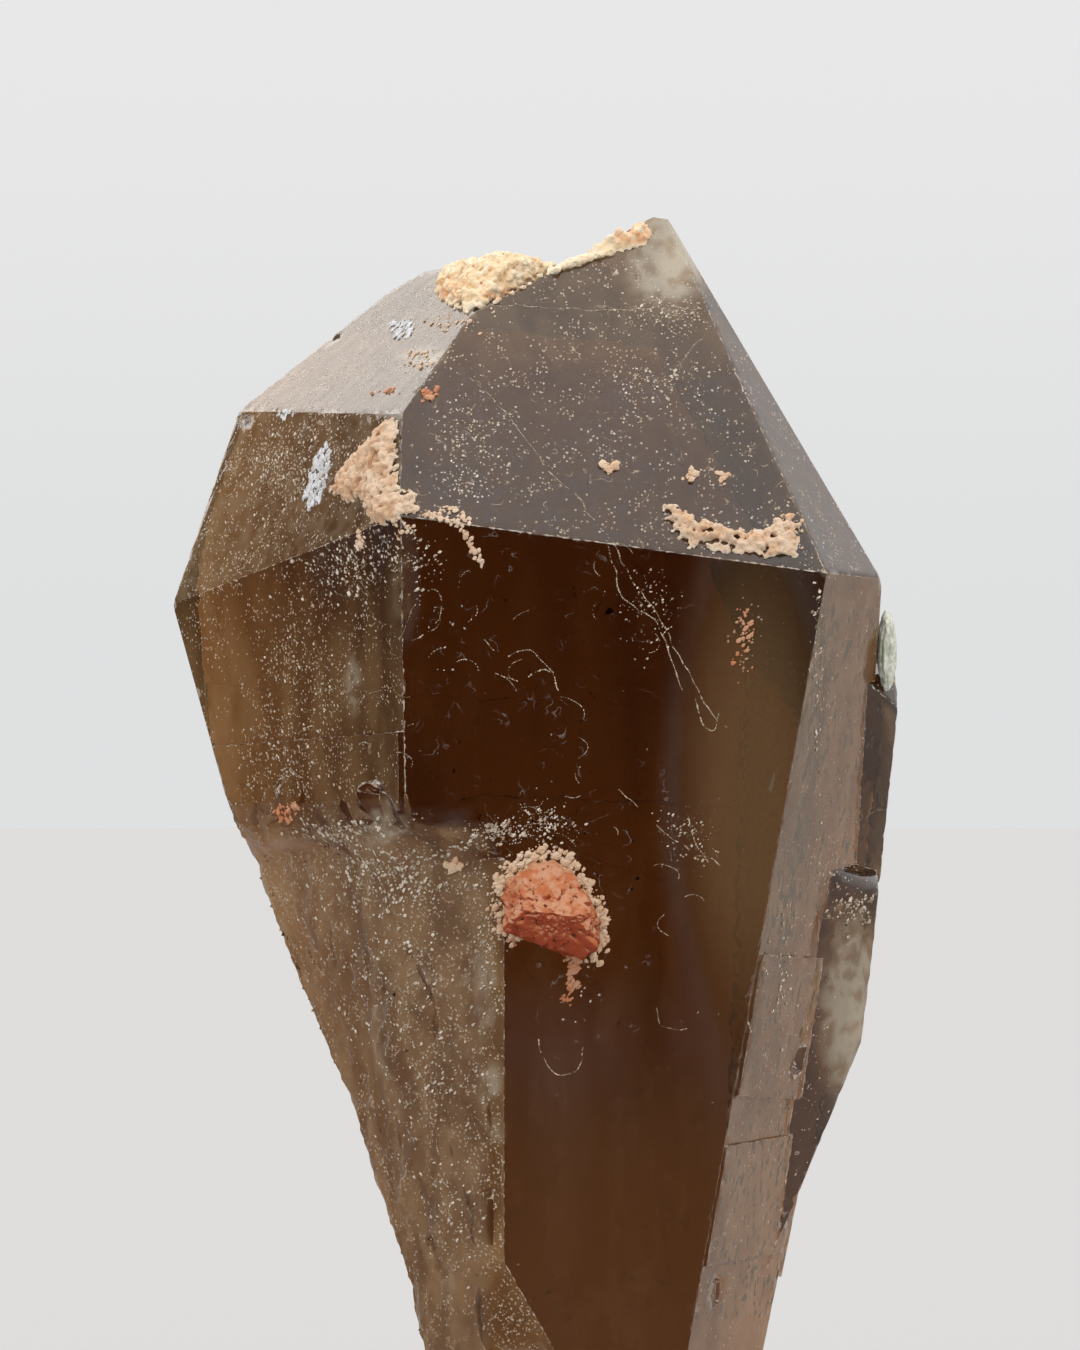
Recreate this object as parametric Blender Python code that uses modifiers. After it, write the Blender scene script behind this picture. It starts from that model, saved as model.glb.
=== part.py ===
"""Smoky quartz crystal with feldspar grown on it, standing on its broken foot.

Metres, +Z up. The front of the crystal faces -Y and its right side faces +X. The foot stands on Z = 0.

The crystal is a block that is cut by one plane for each of its faces. The flat front face comes first,
and each other face is folded from a neighbour about the edge that they share, by an angle that quartz
has. An edge is given by two points as they look from the front, across (X) and up (Z), in mm. The
smaller crystals grown along it, and its ledges and steps, are blocks of the same kind that are joined
to it or cut from it.
"""

import bpy
import bmesh
import math
import random
from collections import namedtuple
from mathutils import Matrix, Vector, noise

MM = 0.001

# Angles between neighbouring faces of quartz, in degrees
PRISM_TURN = 60.0
PRISM_TO_TIP_FACE = 38.2
TIP_FACE_TO_NEXT = 46.3
TIP_FACE_TO_THIRD = 85.8

# The sides turn to the back in smaller steps, as where crystals grow side by side
BACK_LEFT_TURN = 42.0
BACK_RIGHT_TURN = 36.0
CREST_TURN = 60.0
VALLEY_WALL_FACING = (35.0, 25.0)

# The front face looks a little to the right and a little down, because the crystal narrows downwards
FRONT_AZIMUTH = 3.0
FRONT_LEAN = -3.5

# Corners of the faces of the big crystal
FRONT_TOP_LEFT = (-10.8, 74.0)
FRONT_TOP_RIGHT = (23.4, 69.4)
FRONT_LOW_RIGHT = (12.4, 7.6)
FRONT_LEDGE_LEFT = (-10.4, 49.6)
TIP_LEFT = (9.6, 98.4)
TIP_RIGHT = (11.2, 97.2)
RIDGE_LEFT = (-3.6, 91.2)
SHOULDER = (-10.7, 82.2)
VALLEY_FRONT = (-5.8, 89.4)
LEFT_CORNER = (-29.6, 67.0)
LEFT_SHOULDER = (-24.2, 82.8)
LEFT_PEAK = (-11.5, 92.8)
LEFT_CREST = (-10.0, 93.9)
VALLEY_CREST = (-3.6, 95.2)
LEFT_LEDGE = (-24.4, 48.6)
RIGHT_CORNER = (28.0, 68.8)
RIGHT_TIP_EDGE = (12.1, 96.0)
RIGHT_WAIST = (26.6, 46.0)
RIGHT_FOOT = (18.7, 7.6)

# Corners of the narrow stem, below the ledge on the left
LEDGE_CORNER = (-10.4, 48.8)
LEDGE_LEFT = (-23.6, 47.2)
STEM_TOP = (-2.5, 46.4)
STEM_LOW = (-2.5, 16.0)
STEM_RIB_TOP = (-8.4, 25.8)
STEM_RIB_LOW = (-6.6, 16.2)
STEM_LEFT_TOP = (-24.0, 48.4)
STEM_LEFT_MIDDLE = (-20.4, 39.0)
STEM_LEFT_WAIST = (-15.0, 26.6)
STEM_LEFT_LOW = (-9.4, 7.6)
STEM_FRONT_TURN = 30.0
STEM_SIDE_TURN = 32.0
FOOT_FACET_TOP = (-3.4, 15.6)
FOOT_FACET_LOW = (1.4, 7.2)
FOOT_FACET_TURN = 28.0

CRYSTAL_DEPTH = 39.0
BACK_LEAN = -6.0
BACK_CORNER_RIGHT = (24.5, 33.0, 69.0)
BACK_CORNER_LEFT = (-25.2, 33.9, 62.0)
BACK_CORNER_TURN = 138.0
TIP_BACK = (0.0, 38.0, 84.0)
SLAB_INSET = -0.08 * MM
FOOT_SPARE = 6.0

# Low rough plates on the stem, where the crystal was hindered as it grew
STEM_PLATES = 24
STEM_EDGE_LOW = -4.2
STEM_EDGE_SLOPE = -0.17
STEM_WIDTH = 8.0
PLATE_SIDES = (5, 6, 7)
SIDE_SPREAD = 0.2

# The feldspar grain and the pale flake
GRAIN_AT = (1.2, 42.8)
GRAIN_OUT = 1.4 * MM
GRAIN_CRUMBLE = 0.35 * MM
FLAKE_AT = (28.2, 62.9)
FLAKE_REACH = (1.1, 1.7, 3.6)
CRUST_VOXEL = 0.45 * MM
LUMP_ROUGHNESS = 0.35

GAP = 0.3 * MM
BLOCK_SIZE = 260 * MM
INSIDE = Vector((0.0, 20 * MM, 50 * MM))
MIDDLE = Vector((-0.12 * MM, 19.05 * MM, 0.0))
SEED = 7

SMOKY_BROWN = (0.16, 0.09, 0.04)
FELDSPAR_PEACH = (0.80, 0.55, 0.36)
FELDSPAR_RED = (0.62, 0.22, 0.09)
FLAKE_WHITE = (0.72, 0.74, 0.64)
QUARTZ_IOR = 1.544

Face = namedtuple("Face", "co no")


def facing(azimuth, elevation):
    """The unit direction that looks from -Y round towards +X by the azimuth, and up by the elevation."""
    a, e = math.radians(azimuth), math.radians(elevation)
    return Vector((math.sin(a) * math.cos(e), -math.cos(a) * math.cos(e), math.sin(e)))


def face_at(point, azimuth, elevation):
    return Face(Vector(point) * MM, facing(azimuth, elevation))


def on_face(face, seen):
    """The point of the face that is seen at this place from the front."""
    x, z = seen[0] * MM, seen[1] * MM
    near = face.no.x * (x - face.co.x) + face.no.z * (z - face.co.z)
    return Vector((x, face.co.y - near / face.no.y, z))


def fold(face, start, end, turn):
    """The next face, past the edge that runs from start to end with the old face on its left."""
    a, b = on_face(face, start), on_face(face, end)
    return Face(a, Matrix.Rotation(math.radians(turn), 3, (b - a).normalized()) @ face.no)


def face_through(a, b, c):
    """The face through three points, looking away from the middle of the crystal."""
    normal = (b - a).cross(c - a).normalized()
    return Face(a, normal if normal.dot(a - INSIDE) > 0 else -normal)


def flipped(face):
    return Face(face.co, -face.no)


def moved(face, distance):
    return Face(face.co + face.no * distance, face.no)


def above(level):
    return face_at((0.0, 0.0, level), 0.0, -90.0)


def below(level):
    return face_at((0.0, 0.0, level), 0.0, 90.0)


def cut_block(faces):
    """A closed convex mesh: a big cube that keeps only what lies behind each of the faces."""
    mesh = bmesh.new()
    bmesh.ops.create_cube(mesh, size=BLOCK_SIZE, matrix=Matrix.Translation(INSIDE))
    for face in faces:
        everything = mesh.verts[:] + mesh.edges[:] + mesh.faces[:]
        cut = bmesh.ops.bisect_plane(
            mesh, geom=everything, dist=1e-7, plane_co=face.co, plane_no=face.no, clear_outer=True
        )
        rim = [item for item in cut["geom_cut"] if isinstance(item, bmesh.types.BMEdge)]
        if rim:
            bmesh.ops.edgeloop_fill(mesh, edges=rim)
    bmesh.ops.recalc_face_normals(mesh, faces=mesh.faces[:])
    return mesh


def plate(face, seen, across, along, rise, sink, turn, rng, slant=35.0, tilt=0.03):
    """A low block on a face, with slanted sides, from sink under the face to rise over it, in mm."""
    centre = on_face(face, seen)
    level = Vector((0.0, 0.0, 1.0)).cross(face.no).normalized()
    spin = Matrix.Rotation(math.radians(turn), 3, face.no)
    u, v = spin @ level, spin @ face.no.cross(level)
    top = (face.no + u * rng.uniform(-tilt, tilt) + v * rng.uniform(-tilt, tilt)).normalized()
    cuts = [Face(centre + face.no * rise * MM, top), Face(centre - face.no * sink * MM, -face.no)]
    sides = rng.choice(PLATE_SIDES)
    for side in range(sides):
        angle = math.tau * (side + rng.uniform(-SIDE_SPREAD, SIDE_SPREAD)) / sides
        reach = 1 / math.hypot(math.cos(angle) / across, math.sin(angle) / along) * rng.uniform(0.7, 1.1)
        outward = u * math.cos(angle) + v * math.sin(angle)
        lean = math.radians(slant * rng.uniform(0.7, 1.2))
        cuts.append(Face(centre + outward * reach * MM, outward * math.cos(lean) + face.no * math.sin(lean)))
    return cut_block(cuts)


def crystal_faces():
    """Every flat face of the big crystal, by name."""
    f = {}
    front_corner = (FRONT_TOP_LEFT[0], 0.0, FRONT_TOP_LEFT[1])
    f["front"] = face_at(front_corner, FRONT_AZIMUTH, FRONT_LEAN)
    f["left"] = fold(f["front"], FRONT_TOP_LEFT, FRONT_LEDGE_LEFT, PRISM_TURN)
    f["right"] = fold(f["front"], FRONT_LOW_RIGHT, FRONT_TOP_RIGHT, PRISM_TURN)
    f["upper"] = fold(f["front"], FRONT_TOP_RIGHT, FRONT_TOP_LEFT, PRISM_TO_TIP_FACE)
    f["upper_right"] = fold(f["upper"], FRONT_TOP_RIGHT, TIP_RIGHT, TIP_FACE_TO_NEXT)
    shoulder = on_face(f["upper"], SHOULDER)
    f["left_shoulder"] = face_through(
        shoulder, on_face(f["front"], FRONT_TOP_LEFT), on_face(f["left"], LEFT_CORNER)
    )
    f["upper_left"] = face_through(
        shoulder, on_face(f["left_shoulder"], LEFT_SHOULDER), on_face(f["upper"], VALLEY_FRONT)
    )
    f["back_right_tip"] = fold(f["upper_right"], RIGHT_CORNER, RIGHT_TIP_EDGE, TIP_FACE_TO_NEXT)
    f["back_right"] = fold(f["right"], RIGHT_WAIST, RIGHT_CORNER, BACK_RIGHT_TURN)
    f["back_right_foot"] = fold(f["right"], RIGHT_FOOT, RIGHT_WAIST, BACK_RIGHT_TURN)
    f["back_corner_right"] = face_at(BACK_CORNER_RIGHT, FRONT_AZIMUTH + BACK_CORNER_TURN, BACK_LEAN)
    f["back_corner_left"] = face_at(BACK_CORNER_LEFT, FRONT_AZIMUTH - BACK_CORNER_TURN, BACK_LEAN)
    f["back_left"] = fold(f["left"], LEFT_CORNER, LEFT_LEDGE, BACK_LEFT_TURN)
    f["back_left_shoulder"] = fold(f["left_shoulder"], LEFT_SHOULDER, LEFT_CORNER, PRISM_TURN)
    f["back_left_tip"] = fold(f["upper_left"], LEFT_PEAK, LEFT_SHOULDER, TIP_FACE_TO_NEXT)
    f["back_tip"] = face_through(
        on_face(f["upper"], TIP_LEFT), on_face(f["upper_left"], LEFT_PEAK), Vector(TIP_BACK) * MM
    )
    f["back"] = face_at((0.0, CRYSTAL_DEPTH, FRONT_TOP_LEFT[1]), FRONT_AZIMUTH + 180, BACK_LEAN)
    f["foot_facet"] = fold(f["front"], FOOT_FACET_TOP, FOOT_FACET_LOW, FOOT_FACET_TURN)
    f["foot"] = above(-FOOT_SPARE)
    return f


def valley_faces(f):
    """The two faces of the valley beside the tip, and the one that tops the smaller crystal left of it."""
    ridge_back = fold(f["upper"], TIP_LEFT, RIDGE_LEFT, TIP_FACE_TO_THIRD)
    wall = Face(on_face(f["upper"], VALLEY_FRONT), facing(*VALLEY_WALL_FACING))
    crest = fold(f["upper_left"], VALLEY_CREST, LEFT_CREST, CREST_TURN)
    return ridge_back, wall, crest


def stem_faces(f):
    """The faces of the narrow stem under the ledge, and the ledge itself."""
    s = {}
    s["ledge"] = face_through(
        on_face(f["left"], LEDGE_CORNER), on_face(f["left"], LEDGE_LEFT), on_face(f["front"], STEM_TOP)
    )
    s["front_left"] = fold(f["front"], STEM_TOP, STEM_LOW, STEM_FRONT_TURN)
    s["left"] = fold(s["front_left"], STEM_RIB_TOP, STEM_RIB_LOW, STEM_SIDE_TURN)
    s["back_left"] = fold(s["left"], STEM_LEFT_TOP, STEM_LEFT_MIDDLE, BACK_LEFT_TURN)
    s["back_left_waist"] = fold(s["left"], STEM_LEFT_MIDDLE, STEM_LEFT_WAIST, BACK_LEFT_TURN)
    s["back_left_low"] = fold(s["left"], STEM_LEFT_WAIST, STEM_LEFT_LOW, BACK_LEFT_TURN)
    return s


def stem_cuts(s):
    """What is missing from the big crystal round its stem."""
    ledge = flipped(s["ledge"])
    yield cut_block([flipped(s["front_left"]), ledge, below(60.0)])
    yield cut_block([flipped(s["left"]), ledge, below(60.0)])
    yield cut_block([flipped(s["back_left"]), below(STEM_LEFT_TOP[1])])
    yield cut_block([flipped(s["back_left_waist"]), below(STEM_LEFT_MIDDLE[1]), above(STEM_LEFT_WAIST[1])])
    yield cut_block([flipped(s["back_left_low"]), below(STEM_LEFT_WAIST[1])])


def side_crystals(f):
    """The faces of the two thin crystals grown along the right edge, the upper one first."""
    inner = face_at((16.0, 0.0, 0.0), -90.0, 0.0)
    front = fold(f["right"], (26.0, 44.5), (26.9, 61.0), -35.0)
    upper = [
        front,
        fold(front, (28.0, 44.8), (29.4, 59.0), 70.0),
        fold(front, (29.4, 58.6), (26.5, 60.8), 50.0),
        fold(front, (24.0, 43.2), (28.2, 44.4), 65.0),
        face_at((28.0, 20.0, 60.0), 150.0, 20.0),
        face_at((27.0, 16.0, 62.0), 60.0, 60.0),
        inner,
    ]
    front = fold(f["right"], (20.0, 20.8), (23.0, 40.0), -33.0)
    lower = [
        front,
        fold(front, (26.4, 31.4), (27.9, 43.0), 70.0),
        fold(front, (21.4, 19.4), (26.4, 31.4), 70.0),
        fold(front, (28.1, 43.9), (23.5, 45.4), 65.0),
        face_at((26.0, 22.0, 40.0), 150.0, -8.0),
        face_at((26.0, 18.0, 46.5), 70.0, 60.0),
        inner,
    ]
    return upper, lower


def growth_slab(f, name, rise, low, high, slope=0.0):
    """A stretch of the crystal between two heights on which one face stands a little further out."""
    faces = [moved(face, rise * MM if key == name else SLAB_INSET) for key, face in f.items()]
    top = Face(Vector((0.0, 0.0, high * MM)), Vector((-slope, 0.0, 1.0)).normalized())
    bottom = Face(Vector((0.0, 0.0, low * MM)), Vector((slope, 0.0, -1.0)).normalized())
    return cut_block([*faces, top, bottom])


def growth_steps(f):
    """The low steps across the prism faces, which mark stages of growth."""
    yield growth_slab(f, "right", 0.35, 29.0, 40.6, slope=-0.1)
    yield growth_slab(f, "right", 0.22, 12.0, 21.5, slope=0.12)
    yield growth_slab(f, "left", 0.4, 50.2, 57.5, slope=0.08)
    yield growth_slab(f, "back", 0.35, 52.0, 60.0, slope=-0.04)
    yield growth_slab(f, "back_right", 0.4, 50.0, 58.0, slope=0.05)
    yield growth_slab(f, "back_right_foot", 0.4, 14.0, 26.0, slope=-0.08)


def rough_plates(f, s, side_front, rng):
    """The low lumps on the stem, along the ledge and where the thin crystals meet."""
    for _ in range(STEM_PLATES):
        height = rng.uniform(3.0, 44.0)
        edge = STEM_EDGE_LOW + STEM_EDGE_SLOPE * height
        place = (edge - rng.uniform(0.0, 1.0) * STEM_WIDTH * (0.3 + height / 70.0), height)
        yield plate(s["left"], place, rng.uniform(1.4, 3.0), rng.uniform(2.0, 5.5), rng.uniform(0.15, 0.45),
                    0.8, rng.uniform(-25, 25), rng, slant=55.0, tilt=0.12)
    on_stem_front = [(-5.0, 36.5), (-8.6, 35.0), (-6.6, 30.0), (-4.4, 26.0), (-5.8, 21.0), (-4.2, 18.0)]
    for place in on_stem_front:
        yield plate(s["front_left"], place, rng.uniform(0.9, 1.6), rng.uniform(2.0, 4.8),
                    rng.uniform(0.2, 0.45), 0.8, rng.uniform(-15, 15), rng, slant=45.0, tilt=0.1)
    over_ledge = [(-12.8, 51.0), (-16.0, 49.8), (-19.4, 51.4), (-22.0, 49.6)]
    for place in over_ledge:
        yield plate(f["left"], place, rng.uniform(2.6, 3.6), rng.uniform(1.4, 2.2), rng.uniform(0.5, 0.8),
                    1.4, rng.uniform(-25, 25), rng)
    under_ledge = [(-9.4, 46.6), (-6.4, 43.0), (-12.5, 46.4)]
    for place in under_ledge:
        yield plate(s["ledge"], place, rng.uniform(1.2, 1.8), rng.uniform(1.2, 2.0), rng.uniform(0.3, 0.5),
                    1.2, rng.uniform(-40, 40), rng)
    between_side_crystals = [(25.2, 42.6), (26.4, 41.6), (24.0, 41.8)]
    for place in between_side_crystals:
        yield plate(side_front, place, rng.uniform(0.7, 1.1), rng.uniform(0.7, 1.2), 0.35, 1.0,
                    rng.uniform(0, 60), rng)


def pits(f, s, rng):
    """The chips broken out of the edges and round the foot."""
    chips = [
        (f["left"], (-12.2, 50.4), 1.4, 2.2, 0.5), (f["upper_left"], (-16.6, 88.6), 1.2, 0.6, 0.5),
        (f["left_shoulder"], (-23.6, 82.0), 1.0, 0.6, 0.5), (f["right"], (21.0, 30.0), 0.9, 1.6, 0.4),
        (f["right"], (14.6, 11.5), 0.8, 2.6, 0.3), (f["back_left"], (-20.0, 52.0), 2.0, 2.4, 0.5),
        (f["front"], (8.4, 0.4), 1.8, 1.2, 0.7), (f["right"], (13.6, 0.3), 2.0, 1.5, 0.8),
        (f["back_right_foot"], (13.0, 0.2), 2.2, 1.4, 0.8), (f["back"], (2.5, 0.4), 2.2, 1.6, 0.8),
        (s["left"], (-6.2, 0.2), 2.0, 1.4, 0.7), (s["back_left_low"], (-4.6, 0.6), 1.8, 1.6, 0.7),
    ]
    for face, place, across, along, deep in chips:
        yield plate(face, place, across, along, 1.5, deep, rng.uniform(-20, 20), rng, slant=-40.0)
    yield cut_block([below(0.0)])


def feldspar_lump(mesh, face, seen, across, along, thick, rng):
    """Adds one rounded lump on a face, its size given as it looks from the front."""
    level = Vector((0.0, 0.0, 1.0)).cross(face.no).normalized()
    up = face.no.cross(level)
    reach = Vector((across * MM / abs(level.x), along * MM / abs(up.z), thick * MM))
    centre = on_face(face, seen)
    start = len(mesh.verts)
    bmesh.ops.create_icosphere(mesh, subdivisions=2, radius=1.0)
    mesh.verts.ensure_lookup_table()
    drift = Vector([rng.uniform(-50, 50) for _ in range(3)])
    for vert in mesh.verts[start:]:
        swell = 1.0 + LUMP_ROUGHNESS * noise.noise(vert.co * 1.6 + drift)
        local = vert.co * swell * reach
        vert.co = centre + level * local.x + up * local.y + face.no * local.z


def feldspar_crust(name, lumps, look, parts, clearance, rng):
    """A crust of lumps that run into each other, kept just clear of the quartz."""
    mesh = bmesh.new()
    for face, seen, across, along, thick in lumps:
        feldspar_lump(mesh, face, seen, across, along, thick, rng)
    crust = add_object(name, mesh, parts, look)
    merge = crust.modifiers.new("Run together", "REMESH")
    merge.mode = "VOXEL"
    merge.voxel_size = CRUST_VOXEL
    boolean(crust, clearance, "DIFFERENCE")
    return crust


def left_crust_lumps(f):
    shoulder = f["left_shoulder"]
    spots = [(-11.7, 80.6, 0.7, 1.6), (-11.9, 79.0, 1.1, 2.0), (-13.2, 78.0, 1.6, 1.9), (-14.7, 76.9, 1.5, 1.6),
             (-12.1, 76.8, 1.5, 2.1), (-12.4, 75.0, 1.8, 1.8), (-11.0, 74.9, 1.2, 1.3)]
    return [(shoulder, (x, z), across, along, 1.15) for x, z, across, along in spots] + [
        (f["upper"], (-10.3, 75.0), 1.2, 1.2, 1.0)
    ]


def right_crust_lumps(f):
    spots = [(10.7, 74.1, 1.0, 0.9), (11.9, 73.1, 1.6, 1.3), (13.4, 72.5, 1.8, 1.3), (15.4, 72.0, 1.8, 1.2),
             (17.3, 71.8, 1.8, 1.3), (19.0, 72.0, 1.6, 1.5), (20.3, 72.8, 1.0, 1.6), (20.4, 71.5, 1.1, 1.3)]
    return [(f["upper"], (x, z), across, along, 1.05) for x, z, across, along in spots]


def ridge_crust_lumps(f, wall):
    in_valley = [(-7.0, 93.2, 1.6, 1.3), (-5.3, 92.6, 1.9, 1.8), (-3.4, 93.1, 1.9, 1.6), (-4.4, 91.5, 1.4, 1.2),
                 (-1.9, 93.0, 1.6, 1.2)]
    on_ridge = [(-0.6, 93.2, 1.4, 1.1), (0.9, 93.9, 1.4, 1.0), (2.4, 94.6, 1.4, 0.95), (3.9, 95.3, 1.4, 0.95),
                (5.4, 96.0, 1.4, 1.0), (6.9, 96.5, 1.3, 1.2), (8.1, 96.9, 1.0, 1.2)]
    return [(wall, (x, z), across, along, 2.4) for x, z, across, along in in_valley] + [
        (f["upper"], (x, z), across, along, 1.0) for x, z, across, along in on_ridge
    ]


def feldspar_grain(f, look, parts, clearance):
    """The big red grain: a block with worn corners that stands out from the front face."""
    centre = on_face(f["front"], GRAIN_AT) + f["front"].no * GRAIN_OUT
    sides = [(0, 5, 3.0), (-25, 40, 3.1), (55, 30, 3.2), (75, -8, 3.4), (-70, 5, 3.2), (-20, -42, 2.9),
             (35, -55, 3.1), (10, 70, 3.4), (-60, 50, 3.3), (-65, -45, 3.5), (180, 0, 4.6), (60, -60, 3.6)]
    mesh = bmesh.new()
    bmesh.ops.create_icosphere(mesh, subdivisions=4, radius=1.0)
    for vert in mesh.verts:
        reach = min(
            distance / max(0.05, facing(azimuth, elevation).dot(vert.co)) for azimuth, elevation, distance in sides
        )
        crumble = noise.fractal(vert.co * 3.1, 1.0, 2.0, 3) * GRAIN_CRUMBLE
        vert.co = centre + vert.co * (reach * MM + crumble)
    grain = add_object("feldspar_grain", mesh, parts, look)
    boolean(grain, clearance, "DIFFERENCE")
    return grain


def pale_flake(f, look, parts, clearance):
    """The lens of pale mineral that stands on the right edge."""
    mesh = bmesh.new()
    bmesh.ops.create_uvsphere(mesh, u_segments=20, v_segments=14, radius=1.0)
    centre = on_face(f["right"], FLAKE_AT)
    for vert in mesh.verts:
        vert.co = centre + Vector([size * MM * along for size, along in zip(FLAKE_REACH, vert.co)])
    flake = add_object("pale_flake", mesh, parts, look)
    boolean(flake, clearance, "DIFFERENCE")
    return flake


def clear_scene():
    for item in list(bpy.data.objects):
        bpy.data.objects.remove(item, do_unlink=True)


def new_collection(name, parent):
    collection = bpy.data.collections.new(name)
    parent.children.link(collection)
    return collection


def material(name, color, roughness, transmission=0.0, ior=1.5):
    made = bpy.data.materials.new(name)
    made.use_nodes = True
    shader = made.node_tree.nodes["Principled BSDF"]
    shader.inputs["Base Color"].default_value = (*color, 1.0)
    shader.inputs["Roughness"].default_value = roughness
    shader.inputs["Transmission Weight"].default_value = transmission
    shader.inputs["IOR"].default_value = ior
    return made


def add_object(name, mesh, collection, look=None):
    data = bpy.data.meshes.new(name)
    mesh.to_mesh(data)
    mesh.free()
    made = bpy.data.objects.new(name, data)
    made.location = -MIDDLE
    collection.objects.link(made)
    if look:
        data.materials.append(look)
    return made


def add_tools(name, meshes, collection):
    """Helper solids that a Boolean joins to a piece or cuts from it."""
    for number, mesh in enumerate(meshes, 1):
        tool = add_object(f"{name}_{number}", mesh, collection)
        tool.hide_render = True
        tool.display_type = "WIRE"


def boolean(target, tools, operation):
    modifier = target.modifiers.new(tools.name, "BOOLEAN")
    modifier.operation = operation
    modifier.solver = "EXACT"
    modifier.operand_type = "COLLECTION"
    modifier.collection = tools


def main():
    clear_scene()
    parts = new_collection("Smoky quartz crystal", bpy.context.scene.collection)
    cutters = new_collection("Cutters", bpy.context.scene.collection)
    steps = new_collection("Growth steps", cutters)
    hollows = new_collection("Stem and valley", cutters)
    joined = new_collection("Grown together", cutters)
    chipped = new_collection("Chips", cutters)
    clearance = new_collection("Clearance", cutters)
    rng = random.Random(SEED)

    faces = crystal_faces()
    stem = stem_faces(faces)
    ridge_back, wall, crest = valley_faces(faces)
    upper_side, lower_side = side_crystals(faces)

    smoky = material("smoky_quartz", SMOKY_BROWN, 0.08, 0.9, QUARTZ_IOR)
    crystal = add_object("quartz_crystal", cut_block(faces.values()), parts, smoky)
    add_tools("growth_step", growth_steps(faces), steps)
    add_tools("stem_cut", stem_cuts(stem), hollows)
    beside_ridge = [cut_block([flipped(ridge_back), flipped(face)]) for face in (wall, crest)]
    add_tools("valley_cut", beside_ridge, hollows)
    add_tools("side_crystal", [cut_block(upper_side), cut_block(lower_side)], joined)
    add_tools("rough_plate", rough_plates(faces, stem, lower_side[0], rng), joined)
    add_tools("chip", pits(faces, stem, rng), chipped)
    boolean(crystal, steps, "UNION")
    boolean(crystal, hollows, "DIFFERENCE")
    boolean(crystal, joined, "UNION")
    boolean(crystal, chipped, "DIFFERENCE")

    solids = ([*faces.values(), ridge_back], [*faces.values(), wall, crest], upper_side, lower_side)
    clear_of = [cut_block([moved(face, GAP) for face in solid]) for solid in solids]
    add_tools("clear_of_quartz", clear_of, clearance)
    peach = material("feldspar_peach", FELDSPAR_PEACH, 0.85)
    red = material("feldspar_red", FELDSPAR_RED, 0.75)
    pale = material("pale_mica", FLAKE_WHITE, 0.3)
    feldspar_crust("feldspar_left_crust", left_crust_lumps(faces), peach, parts, clearance, rng)
    feldspar_crust("feldspar_right_crust", right_crust_lumps(faces), peach, parts, clearance, rng)
    feldspar_crust("feldspar_ridge_crust", ridge_crust_lumps(faces, wall), peach, parts, clearance, rng)
    feldspar_grain(faces, red, parts, clearance)
    pale_flake(faces, pale, parts, clearance)


main()
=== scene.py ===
"""Looks of the smoky quartz crystal: clear brown quartz with pale growth marks, and crumbly feldspar.

Metres, +Z up, in the row frame. Places on the crystal are given as they are seen from the front, across and
up in millimetres, and each one is put on the face that carries it.
"""

import math
import random

import bmesh
import bpy
import numpy as np
from mathutils import Matrix, Vector, noise
from mathutils.bvhtree import BVHTree


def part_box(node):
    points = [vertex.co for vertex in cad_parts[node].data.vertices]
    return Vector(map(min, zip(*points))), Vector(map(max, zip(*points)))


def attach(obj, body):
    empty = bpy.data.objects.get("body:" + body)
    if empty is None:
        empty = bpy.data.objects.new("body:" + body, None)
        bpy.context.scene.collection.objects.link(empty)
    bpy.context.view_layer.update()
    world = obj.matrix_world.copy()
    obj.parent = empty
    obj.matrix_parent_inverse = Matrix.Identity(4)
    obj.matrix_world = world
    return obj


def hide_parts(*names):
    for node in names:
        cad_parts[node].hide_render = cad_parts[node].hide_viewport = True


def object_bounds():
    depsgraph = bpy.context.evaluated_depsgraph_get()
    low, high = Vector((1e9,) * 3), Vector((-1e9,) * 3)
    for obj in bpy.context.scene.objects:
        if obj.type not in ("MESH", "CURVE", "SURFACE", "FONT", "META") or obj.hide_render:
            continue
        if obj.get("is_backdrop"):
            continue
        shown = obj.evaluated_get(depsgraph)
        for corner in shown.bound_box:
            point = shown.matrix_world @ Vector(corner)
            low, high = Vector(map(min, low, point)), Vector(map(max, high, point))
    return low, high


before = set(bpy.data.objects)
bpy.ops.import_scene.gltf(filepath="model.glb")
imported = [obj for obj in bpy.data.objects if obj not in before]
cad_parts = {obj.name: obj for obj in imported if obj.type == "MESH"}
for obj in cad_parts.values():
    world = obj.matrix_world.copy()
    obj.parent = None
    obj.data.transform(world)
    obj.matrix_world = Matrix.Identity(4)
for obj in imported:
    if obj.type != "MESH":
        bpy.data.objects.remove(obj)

CAD_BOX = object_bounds()
MM = 0.001

# Camera
VIEW_HEIGHT = 108 * MM
VIEW_CENTRE = (0.52 * MM, 61.2 * MM)
CAMERA_DISTANCE = 1.5
SENSOR = 36.0

# The studio's light by height above the horizon
SKY = [
    (0.0, (0.74, 0.745, 0.75)), (0.035, (0.805, 0.805, 0.805)), (0.25, (0.80, 0.80, 0.80)),
    (0.45, (1.25, 1.24, 1.22)), (0.75, (1.75, 1.73, 1.70)),
]

# The soft bright patch of the sky: the way to it, its radius in degrees, and the light that it adds
LAMP_AT = (-150.0, 30.0)
LAMP_SIZE = 34.0
LAMP_LIGHT = (1.0, 0.97, 0.93)

# The floor, and its size in metres
FLOOR_COLOR = (0.462, 0.462, 0.462)
FLOOR_SIZE = 12.0

# The black card: how far out and how high each bend is, in metres, and the degrees where it starts and ends
CARD_PROFILE = [(0.022, 0.0006), (0.085, 0.0006), (0.115, 0.05), (0.12, 0.118)]
CARD_START, CARD_END = -128.0, 24.0
CARD_COLOR = (0.01, 0.01, 0.01)

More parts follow.
